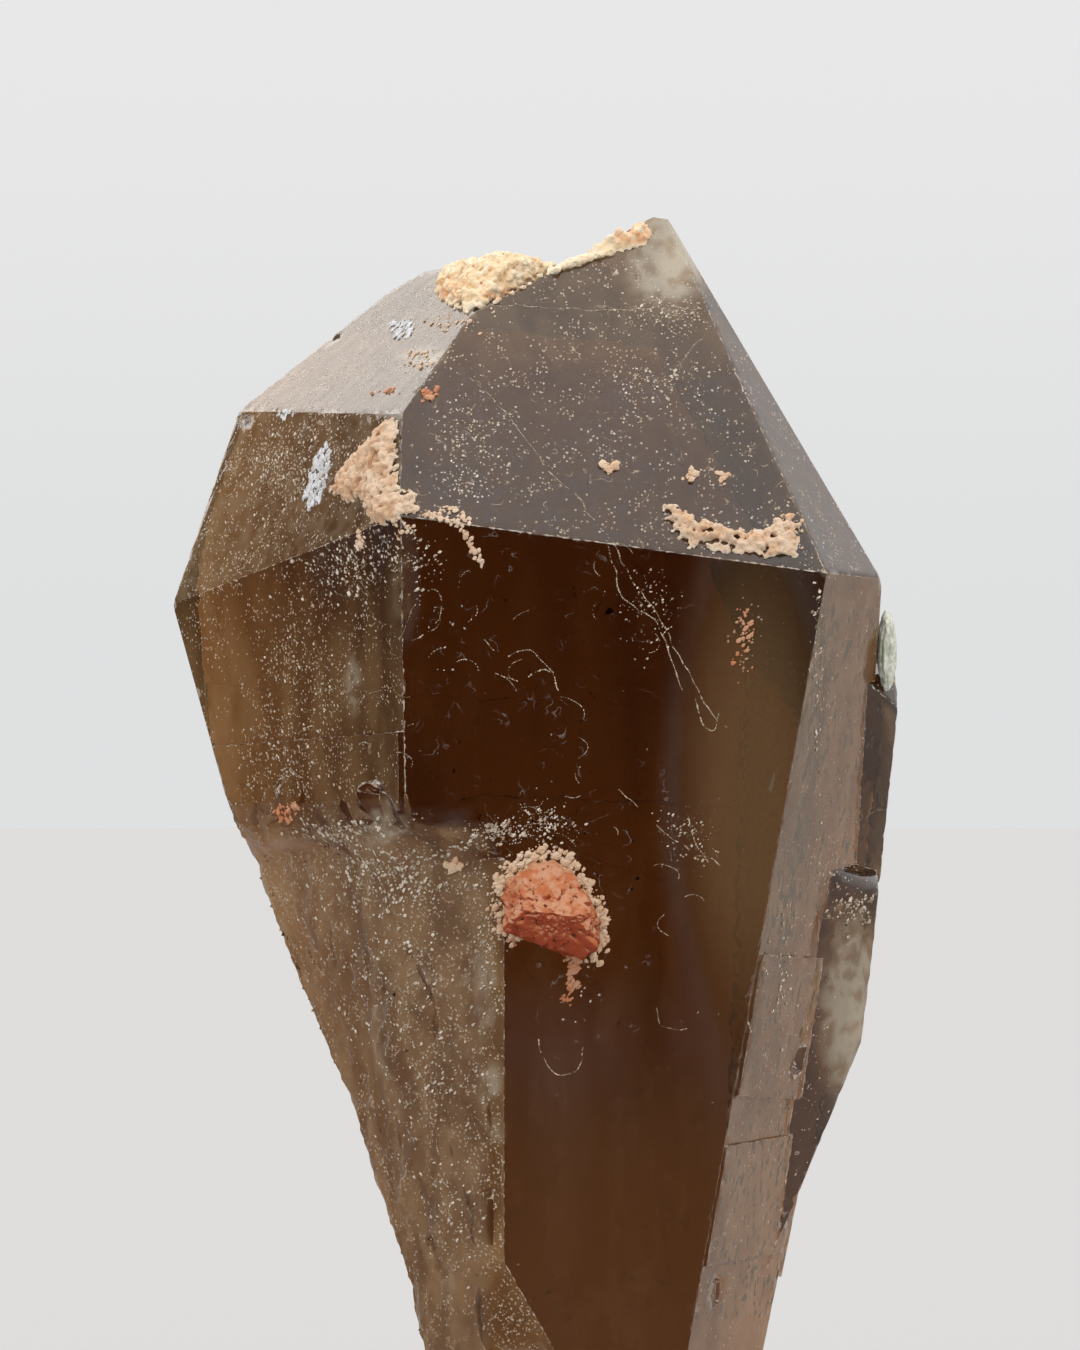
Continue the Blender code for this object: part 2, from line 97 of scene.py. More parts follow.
# Quartz: its refraction, how dense its absorption is for each metre, and the colour that it lets through
QUARTZ_IOR = 1.544
ABSORPTION_DENSITY = 150.0
ABSORPTION_COLOR = (0.513, 0.30, 0.02)

# Colours on the quartz: its specks and its milk from dark to light, its darker zones, and its ticks, painted
# dark in place of small steps that refract darkness
SPECK_COLORS = (0.42, 0.31, 0.20), (0.84, 0.77, 0.67)
MILK_COLORS = (0.60, 0.37, 0.175), (0.68, 0.59, 0.45)
CLEAR_COLOR, ZONE_COLOR = (1.0, 1.0, 1.0), (0.50, 0.40, 0.31)
TICK_SHADE_COLOR = (0.11, 0.07, 0.035)

# Colours of the feldspar: painted shade in its hollows, then its colour in its middle, in its light places and
# at its rim
PEACH_COLORS = (0.34, 0.14, 0.05), (0.66, 0.43, 0.27), (0.72, 0.55, 0.40), (0.74, 0.64, 0.50)
ORANGE_COLORS = (0.20, 0.05, 0.02), (0.52, 0.19, 0.08), (0.58, 0.30, 0.17), (0.66, 0.44, 0.29)
CREAM_COLORS = (0.62, 0.28, 0.10), (0.86, 0.66, 0.42), (0.90, 0.76, 0.56), (0.90, 0.80, 0.64)
RUST_COLOR = (0.80, 0.36, 0.15)

# Colours of the red grain: its top from dark to light, its rim, the painted shade on its lower side and the
# painted shade in its hollows
RED_TOP_COLORS = (0.50, 0.14, 0.04), (0.60, 0.29, 0.16)
RED_RIM_COLOR = (0.72, 0.47, 0.27)
RED_UNDERSIDE_SHADE_COLOR = (0.34, 0.045, 0.006)
RED_HOLLOW_SHADE_COLOR = (0.12, 0.028, 0.01)

# Colours of the pale minerals from dark to light
DUST_COLORS = (0.26, 0.18, 0.11), (0.76, 0.68, 0.57)
WISP_COLORS = (0.20, 0.13, 0.075), (0.62, 0.52, 0.40)
WHITE_COLORS = (0.38, 0.38, 0.38), (0.70, 0.70, 0.72)
MICA_COLORS = (0.42, 0.45, 0.34), (0.80, 0.80, 0.72)

# The skin of the quartz: its longest edge, the rounds of splitting, and the angles that count as sharp
QUARTZ_EDGE = 0.9 * MM
SPLITTING_ROUNDS = 12
SHARP_EDGE, SHADED_SHARP = math.radians(18), math.radians(20)

# How the quartz is worn: the rounds of smoothing, and depths in millimetres
WORN_SMOOTHING = 24
WORN_DEPTH = 0.2
EDGE_CHIPS = 0.16

# Where the smaller crystal on the left ends: at its right, against the big one, and at its top
STEM_RIGHT, STEM_TOP = -2.9, 49.5

# The way that each face of the crystal looks: round from the front towards the right, and up, in degrees
FRONT = (3.0, -3.5)
UPPER = (8.7, 34.0)
UPPER_RIGHT = (65.0, 33.0)
RIGHT = (63.0, -10.0)
UPPER_LEFT = (-61.0, 44.0)
SHOULDER = (-62.0, 19.0)
LEFT = (-57.0, -8.0)
STEM_FRONT = (-27.0, -8.0)

# Outlines of the feldspar crusts
LEFT_CRUST = [
    (-11.9, 81.9), (-10.9, 81.6), (-10.8, 78.8), (-10.7, 76.2), (-9.4, 75.7), (-9.2, 74.2), (-10.5, 73.9),
    (-11.2, 73.1), (-13.1, 73.4), (-13.8, 75.3), (-15.0, 75.0), (-16.4, 75.9), (-16.0, 77.0), (-14.7, 78.9),
    (-13.0, 80.5),
]
RIGHT_CRUST = [
    (10.0, 74.6), (11.1, 75.0), (13.3, 73.7), (16.4, 72.9), (18.4, 72.9), (19.3, 73.8), (20.5, 74.3),
    (21.5, 73.5), (21.1, 70.7), (18.9, 70.5), (16.1, 70.9), (12.5, 71.3), (11.0, 72.7),
]
RIDGE_LUMP = [
    (-8.1, 92.2), (-7.6, 93.9), (-6.3, 94.7), (-4.3, 95.2), (-2.4, 95.5), (-0.6, 95.3), (0.9, 94.8),
    (0.3, 93.6), (-1.5, 92.6), (-2.7, 91.7), (-4.1, 90.9), (-5.4, 90.3), (-6.8, 91.1),
]
RIDGE_STRIP = [
    (-2.7, 92.6), (-0.3, 94.2), (2.3, 95.4), (5.3, 96.6), (7.3, 97.6), (9.0, 98.0), (9.7, 97.1), (9.0, 96.0),
    (6.9, 95.5), (4.7, 95.2), (2.1, 94.1), (-0.3, 92.8), (-2.2, 91.7), (-3.5, 90.7),
]

# How the crusts are built and weathered, in millimetres
CRUST_GRAINS = (0.2, 0.42)
CRUST_EDGE = 0.9
CRUST_VOXEL = 0.13
CRUMBLE_SIZE, CRUMBLE_DEPTH = 0.5, 0.12
CRUST_RIM, GRAIN_RIM_HEIGHT = 0.35, 1.3
HOLLOW_CONTRAST = 6.0

# Where the ridge crust is rusty: across, up, and its reach across and up
RUSTY_PLACES = [(-7.0, 92.4, 1.8, 1.2), (-2.4, 92.1, 3.0, 0.9), (8.2, 97.0, 2.4, 1.5)]

# The line round the red grain where peach crumbs lie
GRAIN_RIM = [
    (-1.5, 39.9), (-2.7, 41.6), (-2.8, 43.3), (-2.4, 44.8), (-1.4, 46.0), (0.6, 46.9), (2.2, 46.6),
    (3.3, 45.7), (4.3, 44.2), (4.9, 42.8), (5.5, 41.2), (5.3, 39.4), (4.7, 38.3),
]

# The flat sides of the red grain: the way that each one looks, its distance from the middle, and the furthest
GRAIN_SIDES = [
    (5, 40, 1.6), (-5, -30, 2.15), (-90, -70, 2.9), (90, 28, 2.95), (90, -5, 3.9), (90, 70, 3.7),
    (-90, 59, 3.9), (-90, 0, 3.75), (60, 5, 3.2), (-60, 15, 3.0), (180, 0, 3.3), (-35, 55, 2.9),
    (45, 52, 2.6), (-50, -30, 3.2),
]
GRAIN_REACH = 4.6


def facing(azimuth, elevation):
    """The unit direction that looks from -Y round towards +X by the azimuth, and up by the elevation."""
    a, e = math.radians(azimuth), math.radians(elevation)
    return Vector((math.sin(a) * math.cos(e), -math.cos(a) * math.cos(e), math.sin(e)))


class Shader:
    """A material and short calls that add nodes to it."""

    def __init__(self, name):
        self.material = bpy.data.materials.new(name)
        self.material.use_nodes = True
        self.tree = self.material.node_tree
        self.surface = self.tree.nodes["Principled BSDF"]
        self.output = self.tree.nodes["Material Output"]
        coordinates = self.tree.nodes.new("ShaderNodeTexCoord")
        self.place = self.vector("SCALE", coordinates.outputs["Object"], 1 / MM)

    def link(self, value, socket):
        """Links an output, or sets a plain number or colour."""
        if isinstance(value, bpy.types.NodeSocket):
            self.tree.links.new(value, socket)
        else:
            socket.default_value = value

    def math(self, operation, a, b=0.0, clamp=False):
        made = self.tree.nodes.new("ShaderNodeMath")
        made.operation = operation
        made.use_clamp = clamp
        self.link(a, made.inputs[0])
        self.link(b, made.inputs[1])
        return made.outputs[0]

    def vector(self, operation, a, b):
        made = self.tree.nodes.new("ShaderNodeVectorMath")
        made.operation = operation
        self.link(a, made.inputs[0])
        self.link(b, made.inputs["Scale" if operation == "SCALE" else 1])
        return made.outputs[0]

    def stretched(self, scale):
        """The place, in millimetres, multiplied axis by axis."""
        return self.vector("MULTIPLY", self.place, scale)

    def shaken(self, size, far):
        """The place, pushed about by noise so that what is drawn at it is uneven."""
        made = self.tree.nodes.new("ShaderNodeTexNoise")
        self.link(self.place, made.inputs["Vector"])
        made.inputs["Scale"].default_value = 1 / size
        made.inputs["Detail"].default_value = 0.0
        push = self.vector("SCALE", self.vector("SUBTRACT", made.outputs["Color"], (0.5, 0.5, 0.5)), far)
        return self.vector("ADD", self.place, push)

    def noise(self, size, detail=2.0, rough=0.5, place=None):
        """Noise whose features are about this many millimetres across."""
        made = self.tree.nodes.new("ShaderNodeTexNoise")
        self.link(place or self.place, made.inputs["Vector"])
        made.inputs["Scale"].default_value = 1 / size
        made.inputs["Detail"].default_value = detail
        made.inputs["Roughness"].default_value = rough
        return made.outputs["Fac"]

    def specks(self, size, share, place):
        """Separate specks in a share of the cells, which are this many millimetres wide, and their tones."""
        cell = self.tree.nodes.new("ShaderNodeTexVoronoi")
        self.link(place, cell.inputs["Vector"])
        cell.inputs["Scale"].default_value = 1 / size
        split = self.tree.nodes.new("ShaderNodeSeparateColor")
        self.tree.links.new(cell.outputs["Color"], split.inputs[0])
        radius = self.between(split.outputs["Green"], 0.0, 1.0, 0.16, 0.5)
        inner = self.between(self.math("SUBTRACT", cell.outputs["Distance"], radius), -0.10, 0.02, 1.0, 0.0)
        present = self.between(self.math("SUBTRACT", share, split.outputs["Red"]), 0.0, 0.04)
        return self.math("MULTIPLY", inner, present), split.outputs["Blue"]

    def between(self, value, low, high, to_low=0.0, to_high=1.0):
        """The value spread over a range and held at its ends, with a soft start and stop."""
        made = self.tree.nodes.new("ShaderNodeMapRange")
        made.interpolation_type = "SMOOTHSTEP"
        for number, socket in zip((value, low, high, to_low, to_high), made.inputs):
            self.link(number, socket)
        return made.outputs[0]

    def mix(self, share, a, b):
        """Colour a turning into colour b."""
        made = self.tree.nodes.new("ShaderNodeMix")
        made.data_type = "RGBA"
        self.link(share, made.inputs["Factor"])
        self.link(a if isinstance(a, bpy.types.NodeSocket) else (*a, 1.0), made.inputs[6])
        self.link(b if isinstance(b, bpy.types.NodeSocket) else (*b, 1.0), made.inputs[7])
        return made.outputs[2]

    def painted(self, name):
        """A value that the mesh holds at its corners."""
        made = self.tree.nodes.new("ShaderNodeAttribute")
        made.attribute_name = name
        return made.outputs["Fac"]

    def bump(self, height, depth):
        """Small unevenness of the skin, its depth in millimetres."""
        made = self.tree.nodes.new("ShaderNodeBump")
        made.inputs["Strength"].default_value = 1.0
        made.inputs["Distance"].default_value = depth * MM
        self.link(height, made.inputs["Height"])
        return made.outputs["Normal"]

    def set(self, **values):
        """Sets or links inputs of the surface by their names."""
        for name, value in values.items():
            if isinstance(value, tuple):
                value = (*value, 1.0)
            self.link(value, self.surface.inputs[name.replace("_", " ")])


def quartz_look():
    """Clear brown quartz, with specks, threads, haze and worn edges where the mesh says so."""
    look = Shader("smoky_quartz_look")
    dust, haze = look.painted("dust"), look.painted("haze")

    specks, tone_of_speck = look.specks(0.24, look.math("MULTIPLY", dust, 0.8), look.shaken(0.2, 0.14))
    specks = look.math("MULTIPLY", specks, 0.62)

    ridge = look.math("ABSOLUTE", look.math("SUBTRACT", look.noise(2.2, 2.0, 0.6), 0.5))
    threads = look.math("MULTIPLY", look.between(ridge, 0.0, 0.014, 0.5, 0.0), look.painted("threads"))

    edge = look.math("ADD", look.painted("edge"), look.math("MULTIPLY", look.noise(0.6, 1.0, 0.7), 0.7))
    worn = look.math("MULTIPLY", look.between(edge, 1.22, 1.4), 0.7)

    # Painted shade: short dark ticks that stand in for the dark refraction of small steps
    tick_noise = look.noise(0.5, 1.0, 0.6, place=look.stretched((1.0, 1.0, 0.35)))
    ticks = look.between(look.math("ADD", tick_noise, look.painted("ticks")), 1.08, 1.16)

    pale = look.math("MAXIMUM", look.math("MAXIMUM", specks, threads), worn, clamp=True)
    veil = look.math("MAXIMUM", pale, haze)
    veil = look.math("MAXIMUM", veil, look.math("MULTIPLY", ticks, 0.9), clamp=True)

    cream = look.mix(tone_of_speck, *SPECK_COLORS)
    clear = look.mix(look.painted("zones"), CLEAR_COLOR, ZONE_COLOR)
    milk = look.mix(look.painted("milk"), *MILK_COLORS)
    body = look.mix(look.between(haze, 0.0, 0.06), clear, milk)
    tone = look.mix(pale, body, cream)
    look.set(
        Base_Color=look.mix(ticks, tone, TICK_SHADE_COLOR),
        Transmission_Weight=look.math("SUBTRACT", 1.0, veil, clamp=True),
        Roughness=look.math("MAXIMUM", look.between(pale, 0.0, 0.6, 0.03, 0.5), look.painted("frost")),
        IOR=QUARTZ_IOR,
        Normal=look.bump(look.noise(1.4, 0.0), 0.03),
    )
    volume = look.tree.nodes.new("ShaderNodeVolumeAbsorption")
    volume.inputs["Color"].default_value = (*ABSORPTION_COLOR, 1.0)
    volume.inputs["Density"].default_value = ABSORPTION_DENSITY
    look.tree.links.new(volume.outputs[0], look.output.inputs["Volume"])
    return look.material


def feldspar_look(name, hollow_shade, middle, light, cream):
    """Crumbly feldspar: darker in its hollows by painted shade, and cream at its rim."""
    look = Shader(name)
    spots = look.noise(0.4, 5.0, 0.75)
    tone = look.mix(look.between(look.noise(1.5, 3.0), 0.38, 0.62), middle, light)
    tone = look.mix(look.between(look.math("ADD", look.painted("rim"), spots), 0.85, 1.2), tone, cream)
    tone = look.mix(look.painted("rusty"), tone, RUST_COLOR)
    # Painted shade: the hollows of the crust are darkened
    tone = look.mix(look.between(look.math("ADD", look.painted("hollow_shade"), spots), 0.75, 1.25), tone, hollow_shade)
    look.set(
        Base_Color=tone,
        Roughness=look.between(spots, 0.3, 0.7, 0.65, 0.95),
        Normal=look.bump(look.noise(0.14, 4.0, 0.75), 0.05),
    )
    return look.material


def pale_look(name, dark, light):
    """Pale mineral dust and flakes."""
    look = Shader(name)
    tone = look.mix(look.between(look.noise(0.6, 4.0, 0.7), 0.35, 0.65), dark, light)
    look.set(Base_Color=tone, Roughness=0.6, Normal=look.bump(look.noise(0.2, 3.0, 0.7), 0.03))
    return look.material


def to_data(name, mesh):
    """Mesh data of what was built."""
    data = bpy.data.meshes.new(name)
    mesh.to_mesh(data)
    mesh.free()
    return data


def refined_quartz():
    """The CAD crystal with its big triangles split, so that values can be painted on it."""
    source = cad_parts["quartz_crystal"].data
    mesh = bmesh.new()
    mesh.from_mesh(source)
    bmesh.ops.remove_doubles(mesh, verts=mesh.verts[:], dist=1e-6)
    bmesh.ops.triangulate(mesh, faces=mesh.faces[:])
    for _ in range(SPLITTING_ROUNDS):
        long_edges = [edge for edge in mesh.edges if edge.calc_length() > QUARTZ_EDGE]
        if not long_edges:
            break
        bmesh.ops.subdivide_edges(mesh, edges=long_edges, cuts=1)
        bmesh.ops.triangulate(mesh, faces=mesh.faces[:])
    return mesh


def soft(value):
    """Held between 0 and 1, with a soft start and stop."""
    value = np.clip(value, 0.0, 1.0)
    return value * value * (3.0 - 2.0 * value)


def read(items, name, width=1, kind=np.float32):
    """A value of every item, in rows where it has more than one number."""
    values = np.empty(len(items) * width, kind)
    items.foreach_get(name, values)
    return values.reshape(-1, width) if width > 1 else values


class Skin:
    """The corners of a mesh: where each one is, in millimetres, and which way its face looks."""

    def __init__(self, data):
        self.data = data
        self.vertex = read(data.loops, "vertex_index", kind=np.int32)
        self.place = read(data.vertices, "co", 3)[self.vertex] / MM
        sides = read(data.polygons, "loop_total", kind=np.int32)
        self.normal = np.repeat(read(data.polygons, "normal", 3), sides, axis=0)
        self.x, self.y, self.z = self.place.T

    def looks(self, face, spread=16.0):
        """1 where the face of the crystal looks this way, and 0 where it is turned from it by the spread."""
        away = np.degrees(np.arccos(np.clip(self.normal @ np.array(facing(*face)), -1.0, 1.0)))
        return soft((spread - away) / (0.5 * spread))

    def back(self, steepness=3.0):
        """1 where the face looks to the back, and 0 where it looks to the front."""
        return soft(self.normal[:, 1] * steepness)

    def spot(self, x, z, across, along):
        """1 in the middle of an oval seen from the front, and 0 outside it."""
        return soft(1.3 * (1.0 - np.hypot((self.x - x) / across, (self.z - z) / along)))

    def front_spots(self, spots):
        """Ovals on the front side, each with its own strength, added up."""
        front_side = self.normal[:, 1] < 0
        return sum(more * self.spot(*oval) * front_side for *oval, more in spots)

    def band(self, low, high, edge=1.5):
        """1 between two heights."""
        return soft((self.z - low) / edge) * soft((high - self.z) / edge)

    def left_of(self, x, edge=1.5):
        """1 to the left of a place, and 0 to the right of it."""
        return soft((x - self.x) / edge)

    def mottle(self, size, low, high, stretch=1.0, drift=0.0):
        """Soft noise from 0 to 1 between two levels, its features this many millimetres across."""
        scale = np.array([1.0, 1.0, 1.0 / stretch]) / size
        places = read(self.data.vertices, "co", 3) / MM * scale + drift
        values = np.array([noise.fractal(Vector(place), 0.9, 2.0, 3) for place in places])
        return soft((values[self.vertex] - low) / (high - low))

    def per_vertex(self, values):
        """The greatest value at the corners of each vertex."""
        found = np.zeros(len(self.data.vertices), np.float32)
        np.maximum.at(found, self.vertex, values)
        return found

    def paint(self, name, values):
        """Writes a value for each corner into the mesh, for the materials to read."""
        layer = self.data.attributes.new(name, "FLOAT", "CORNER")
        layer.data.foreach_set("value", np.ascontiguousarray(values, np.float32))


# Spots on the front: across, up, the reach across and up, and how strong each one is
DUSTY_SPOTS = [
    (-19.0, 77.5, 7.0, 5.0, 0.3), (-15.0, 70.0, 5.0, 3.5, 0.45), (-17.5, 62.0, 6.0, 7.0, 0.3),
    (-20.5, 54.0, 5.0, 5.0, 0.35), (-5.5, 79.0, 4.0, 5.5, 0.3), (11.0, 90.5, 5.0, 2.5, 0.35),
    (10.0, 84.8, 6.0, 3.0, 0.35), (-12.0, 46.5, 9.0, 4.0, 0.7), (-2.5, 48.6, 4.0, 1.6, 0.6),
    (0.9, 49.0, 3.0, 2.2, 0.4), (-4.0, 41.0, 3.0, 9.0, 0.2), (17.0, 64.5, 2.2, 4.5, 0.35),
    (-22.0, 80.5, 3.0, 3.0, 0.3), (-8.0, 66.0, 4.0, 6.0, 0.12), (9.0, 66.0, 3.0, 5.0, 0.2),
    (12.5, 47.5, 2.5, 3.0, 0.25), (3.5, 35.0, 2.5, 3.0, 0.12), (23.5, 46.0, 4.0, 3.5, 0.5),
    (-3.4, 28.5, 1.8, 3.0, 0.8), (-3.2, 24.6, 1.4, 2.0, 0.8),
]
MILKY_SPOTS = [
    (10.8, 96.0, 4.5, 7.0, 1.8), (-14.5, 60.5, 1.0, 3.4, 0.8), (-12.3, 49.5, 2.4, 2.8, 0.9),
    (-3.4, 28.5, 1.6, 2.6, 0.8), (-3.0, 24.6, 1.2, 1.6, 0.8), (-3.8, 36.0, 1.3, 6.0, 0.6),
    (25.6, 34.0, 3.6, 10.5, 1.5), (-10.5, 68.5, 1.5, 6.0, 0.4), (-9.0, 86.8, 2.5, 1.5, 1.0),
]


def dust_on(skin):
    """How densely the pale specks lie."""
    left, shoulder, stem = skin.looks(LEFT, 24.0), skin.looks(SHOULDER), skin.looks(STEM_FRONT)
    dust = 0.02 * skin.looks(FRONT) + 0.5 * skin.looks(UPPER) + 0.2 * skin.looks(RIGHT) + 0.1 * skin.back()
    dust += left * (0.6 + 0.8 * skin.band(2.0, 49.0)) + 0.85 * shoulder + 1.4 * stem
    dust += 0.75 * skin.looks(UPPER_LEFT) + 0.4 * skin.looks(UPPER_RIGHT)
    dust *= 0.15 + 1.15 * skin.mottle(2.8, -0.3, 0.45)
    return dust + skin.front_spots(DUSTY_SPOTS)


def haze_on(skin):
    """The share of brown milky quartz in the skin."""
    left, front, back = skin.looks(LEFT, 24.0), skin.looks(FRONT), skin.back()
    stem = np.maximum(skin.left_of(STEM_RIGHT), skin.looks(STEM_FRONT)) * skin.band(-3.0, STEM_TOP)
    haze = 0.02 * left + 0.10 * skin.looks(SHOULDER) + 0.10 * skin.looks(UPPER_LEFT) + 0.06 * back
    haze += skin.looks(UPPER) * (0.025 + 0.06 * skin.band(84.0, 110.0, 5.0)) + 0.05 * skin.looks(UPPER_RIGHT)
    haze += 0.17 * skin.looks(RIGHT) + left * 0.12 * skin.band(-5.0, 74.0, 14.0)
    haze = np.maximum(haze, 0.26 * stem * (1.0 - 0.6 * back))
    haze += 0.27 * skin.spot(27.0, 34.0, 4.0, 12.0) + 0.15 * skin.spot(10.8, 96.0, 4.5, 7.5)
    haze *= 0.6 + 0.7 * skin.mottle(2.2, -0.6, 0.6, stretch=3.0, drift=9.0)
    return haze + front * (0.15 * skin.spot(17.5, 52.0, 8.0, 27.0) + 0.05 * skin.band(-15.0, 40.0, 20.0))


def milk_on(skin):
    """The share of grey milky quartz, in patches."""
    milk = 0.25 * skin.looks(UPPER_LEFT) + 0.15 * skin.looks(RIGHT) + 0.1 * skin.looks(UPPER)
    milk += 0.35 * skin.looks(SHOULDER) + skin.front_spots(MILKY_SPOTS)
    return np.clip(milk * (0.3 + 0.8 * skin.mottle(0.9, -0.5, 0.4, drift=5.0)), 0.0, 1.0)


def worn_on(skin):
    """Where the quartz is rough to the touch: on the stem, along the ledge and round the broken foot."""
    stem = skin.left_of(STEM_RIGHT) * skin.band(-3.0, STEM_TOP)
    ledge = skin.left_of(-4.0, 2.0) * skin.band(45.0, 51.5)
    notch = skin.spot(25.5, 42.5, 3.5, 3.5)
    foot = soft((3.5 - skin.z) / 3.0)
    return np.clip(np.maximum.reduce([stem, ledge, notch, foot]), 0.0, 1.0)


def smooth_places(data, places, share, times):
    """Draws each point towards its neighbours by its share."""
    ends = read(data.edges, "vertices", 2, np.int32)
    count = np.bincount(ends.ravel(), minlength=len(places))[:, None]
    for _ in range(times):
        total = np.zeros_like(places)
        np.add.at(total, ends[:, 0], places[ends[:, 1]])
        np.add.at(total, ends[:, 1], places[ends[:, 0]])
        places = places + share[:, None] * 0.6 * (total / count - places)
    return places


def wear(data, skin, worn, sharp):
    """Softens and roughens the worn parts of the quartz and takes small chips out of its edges."""
    places = read(data.vertices, "co", 3) / MM
    normals = read(data.vertices, "normal", 3)
    places = smooth_places(data, places, worn, WORN_SMOOTHING)
    for at in np.flatnonzero((worn > 0.02) | (sharp > 0.5)):
        place = Vector(places[at])
        rough = noise.fractal(place * 0.9, 0.9, 2.0, 3) * WORN_DEPTH * worn[at]
        chip = max(0.0, noise.noise(place * 1.1) + 0.15) * EDGE_CHIPS * sharp[at]
        places[at] += normals[at] * (rough - chip - WORN_DEPTH * 0.6 * worn[at])
    places[:, 2] = np.maximum(places[:, 2], 0.0)
    data.vertices.foreach_set("co", (places * MM).ravel())
    data.update()


def sharp_vertices(mesh):
    """1 at each vertex that lies on an edge between two faces of the crystal."""
    sharp = np.zeros(len(mesh.verts), np.float32)
    mesh.verts.index_update()
    for edge in mesh.edges:
        if edge.is_manifold and edge.calc_face_angle() > SHARP_EDGE:
            for vert in edge.verts:
                sharp[vert.index] = 1.0
    return sharp


def link_piece(name, data, look, replaces=None):
    """A visible piece that rides the crystal, and stands in for a node where one is named."""
    data.materials.append(look)
    piece = bpy.data.objects.new(name, data)
    bpy.context.scene.collection.objects.link(piece)
    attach(piece, "root")
    if replaces:
        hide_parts(replaces)
    return piece


def ticks_on(skin):
    """Where the short dark ticks lie, painted dark in place of small steps that refract darkness: on the right
    face, most along its front edge, and at the upper left.
    """
    edge_x = 20.6 + 0.136 * (skin.z - 42.8)
    front_edge = soft(1.0 - np.abs(skin.x - edge_x) / 1.5)
    right = skin.looks(RIGHT) * (0.52 * skin.band(8.0, 68.0) + 0.12 * front_edge * skin.band(38.0, 70.0))
    return right + skin.looks(UPPER_LEFT) * (0.5 + 0.12 * skin.spot(-10.5, 90.5, 5.0, 3.0))


def add_quartz():
    """The crystal itself, painted and worn."""
    mesh = refined_quartz()
    sharp = sharp_vertices(mesh)
    data = to_data("quartz", mesh)
    skin = Skin(data)
    worn = worn_on(skin)
    milk = milk_on(skin)
    wisps = (1.0 - 0.75 * skin.looks(FRONT)) * (skin.normal[:, 1] < 0.3)
    skin.paint("dust", dust_on(skin))
    skin.paint("milk", milk)
    skin.paint("haze", haze_on(skin) + 0.28 * milk)
    skin.paint("threads", skin.mottle(1.4, 0.2, 0.55, drift=21.0) * wisps)
    skin.paint("zones", skin.mottle(7.0, -0.4, 0.5, stretch=5.0, drift=33.0))
    skin.paint("ticks", ticks_on(skin))
    skin.paint("edge", sharp[skin.vertex] * (1.0 - 0.5 * worn))
    skin.paint("frost", np.maximum(0.55 * skin.back(4.0), 0.45 * worn))
    wear(data, skin, skin.per_vertex(worn), sharp)
    data.shade_smooth()
    data.set_sharp_from_angle(angle=SHADED_SHARP)
    return link_piece("quartz", data, quartz_look(), "quartz_crystal")


# How far before or behind the middle each ray starts that finds a place on the quartz, in metres
EYE_DISTANCE = 0.1


class Ground:
    """The surface of the quartz, where everything else is put."""

    def __init__(self, piece):
        data = piece.data
        self.tree = BVHTree.FromPolygons(
            [vert.co for vert in data.vertices], [face.vertices[:] for face in data.polygons]
        )

    def seen(self, x, z, behind=False, near=0.0):
        """The point seen at this place, from the front or from behind, and the way it faces."""
        side = 1.0 if behind else -1.0
        eye, way = Vector((x * MM, side * EYE_DISTANCE, z * MM)), Vector((0.0, -side, 0.0))
        point, normal, _, _ = self.tree.ray_cast(eye, way)
        if point is None:
            point, normal, _, _ = self.tree.find_nearest(Vector((x * MM, near, z * MM)))
        return point, normal


class Crumbs:
    """Many small uneven grains, gathered in one mesh."""

    def __init__(self, seed):
        self.rng = random.Random(seed)
        ball = bmesh.new()
        bmesh.ops.create_icosphere(ball, subdivisions=1, radius=1.0)
        self.ball = np.array([vert.co for vert in ball.verts])
        self.sides = np.array([[vert.index for vert in face.verts] for face in ball.faces])
        ball.free()
        self.places, self.faces, self.count = [], [], 0

    def add(self, point, normal, size, flat=0.7, along=None, stretch=1.0, sink=0.2):
        """One grain on a surface, its size in millimetres."""
        along = along or normal.orthogonal()
        along = (along - normal * along.dot(normal)).normalized()
        spin = Matrix.Rotation(self.rng.uniform(-0.3, 0.3), 3, normal)
        along = spin @ along
        axes = np.array([along * stretch, normal.cross(along), normal * flat]) * size * MM
        uneven = np.array([self.rng.uniform(0.65, 1.2) for _ in self.ball])[:, None]
        centre = np.array(point + normal * size * flat * (1.0 - 2.0 * sink) * MM)
        self.places.append((self.ball * uneven) @ axes + centre)
        self.faces.append(self.sides + self.count * len(self.ball))
        self.count += 1

    def mesh(self, name):
        data = bpy.data.meshes.new(name)
        data.from_pydata(np.concatenate(self.places).tolist(), [], np.concatenate(self.faces).tolist())
        data.update()
        return data


def run_together(data, voxel):
    """One closed skin round everything in the mesh."""
    holder = bpy.data.objects.new("Remesh", data)
    bpy.context.scene.collection.objects.link(holder)
    merge = holder.modifiers.new("Run together", "REMESH")
    merge.mode = "VOXEL"
    merge.voxel_size = voxel * MM
    made = bpy.data.meshes.new_from_object(holder.evaluated_get(bpy.context.evaluated_depsgraph_get()))
    bpy.data.objects.remove(holder)
    made.name = data.name
    bpy.data.meshes.remove(data)
    return made


def crumble(data, size, depth):
    """Pushes the skin in and out by fractal noise."""
    places = read(data.vertices, "co", 3) / MM
    normals = read(data.vertices, "normal", 3)
    for at in range(len(places)):
        push = noise.fractal(Vector(places[at]) / size, 0.8, 2.1, 4)
        places[at] += normals[at] * push * depth
    data.vertices.foreach_set("co", (places * MM).ravel())
    data.update()


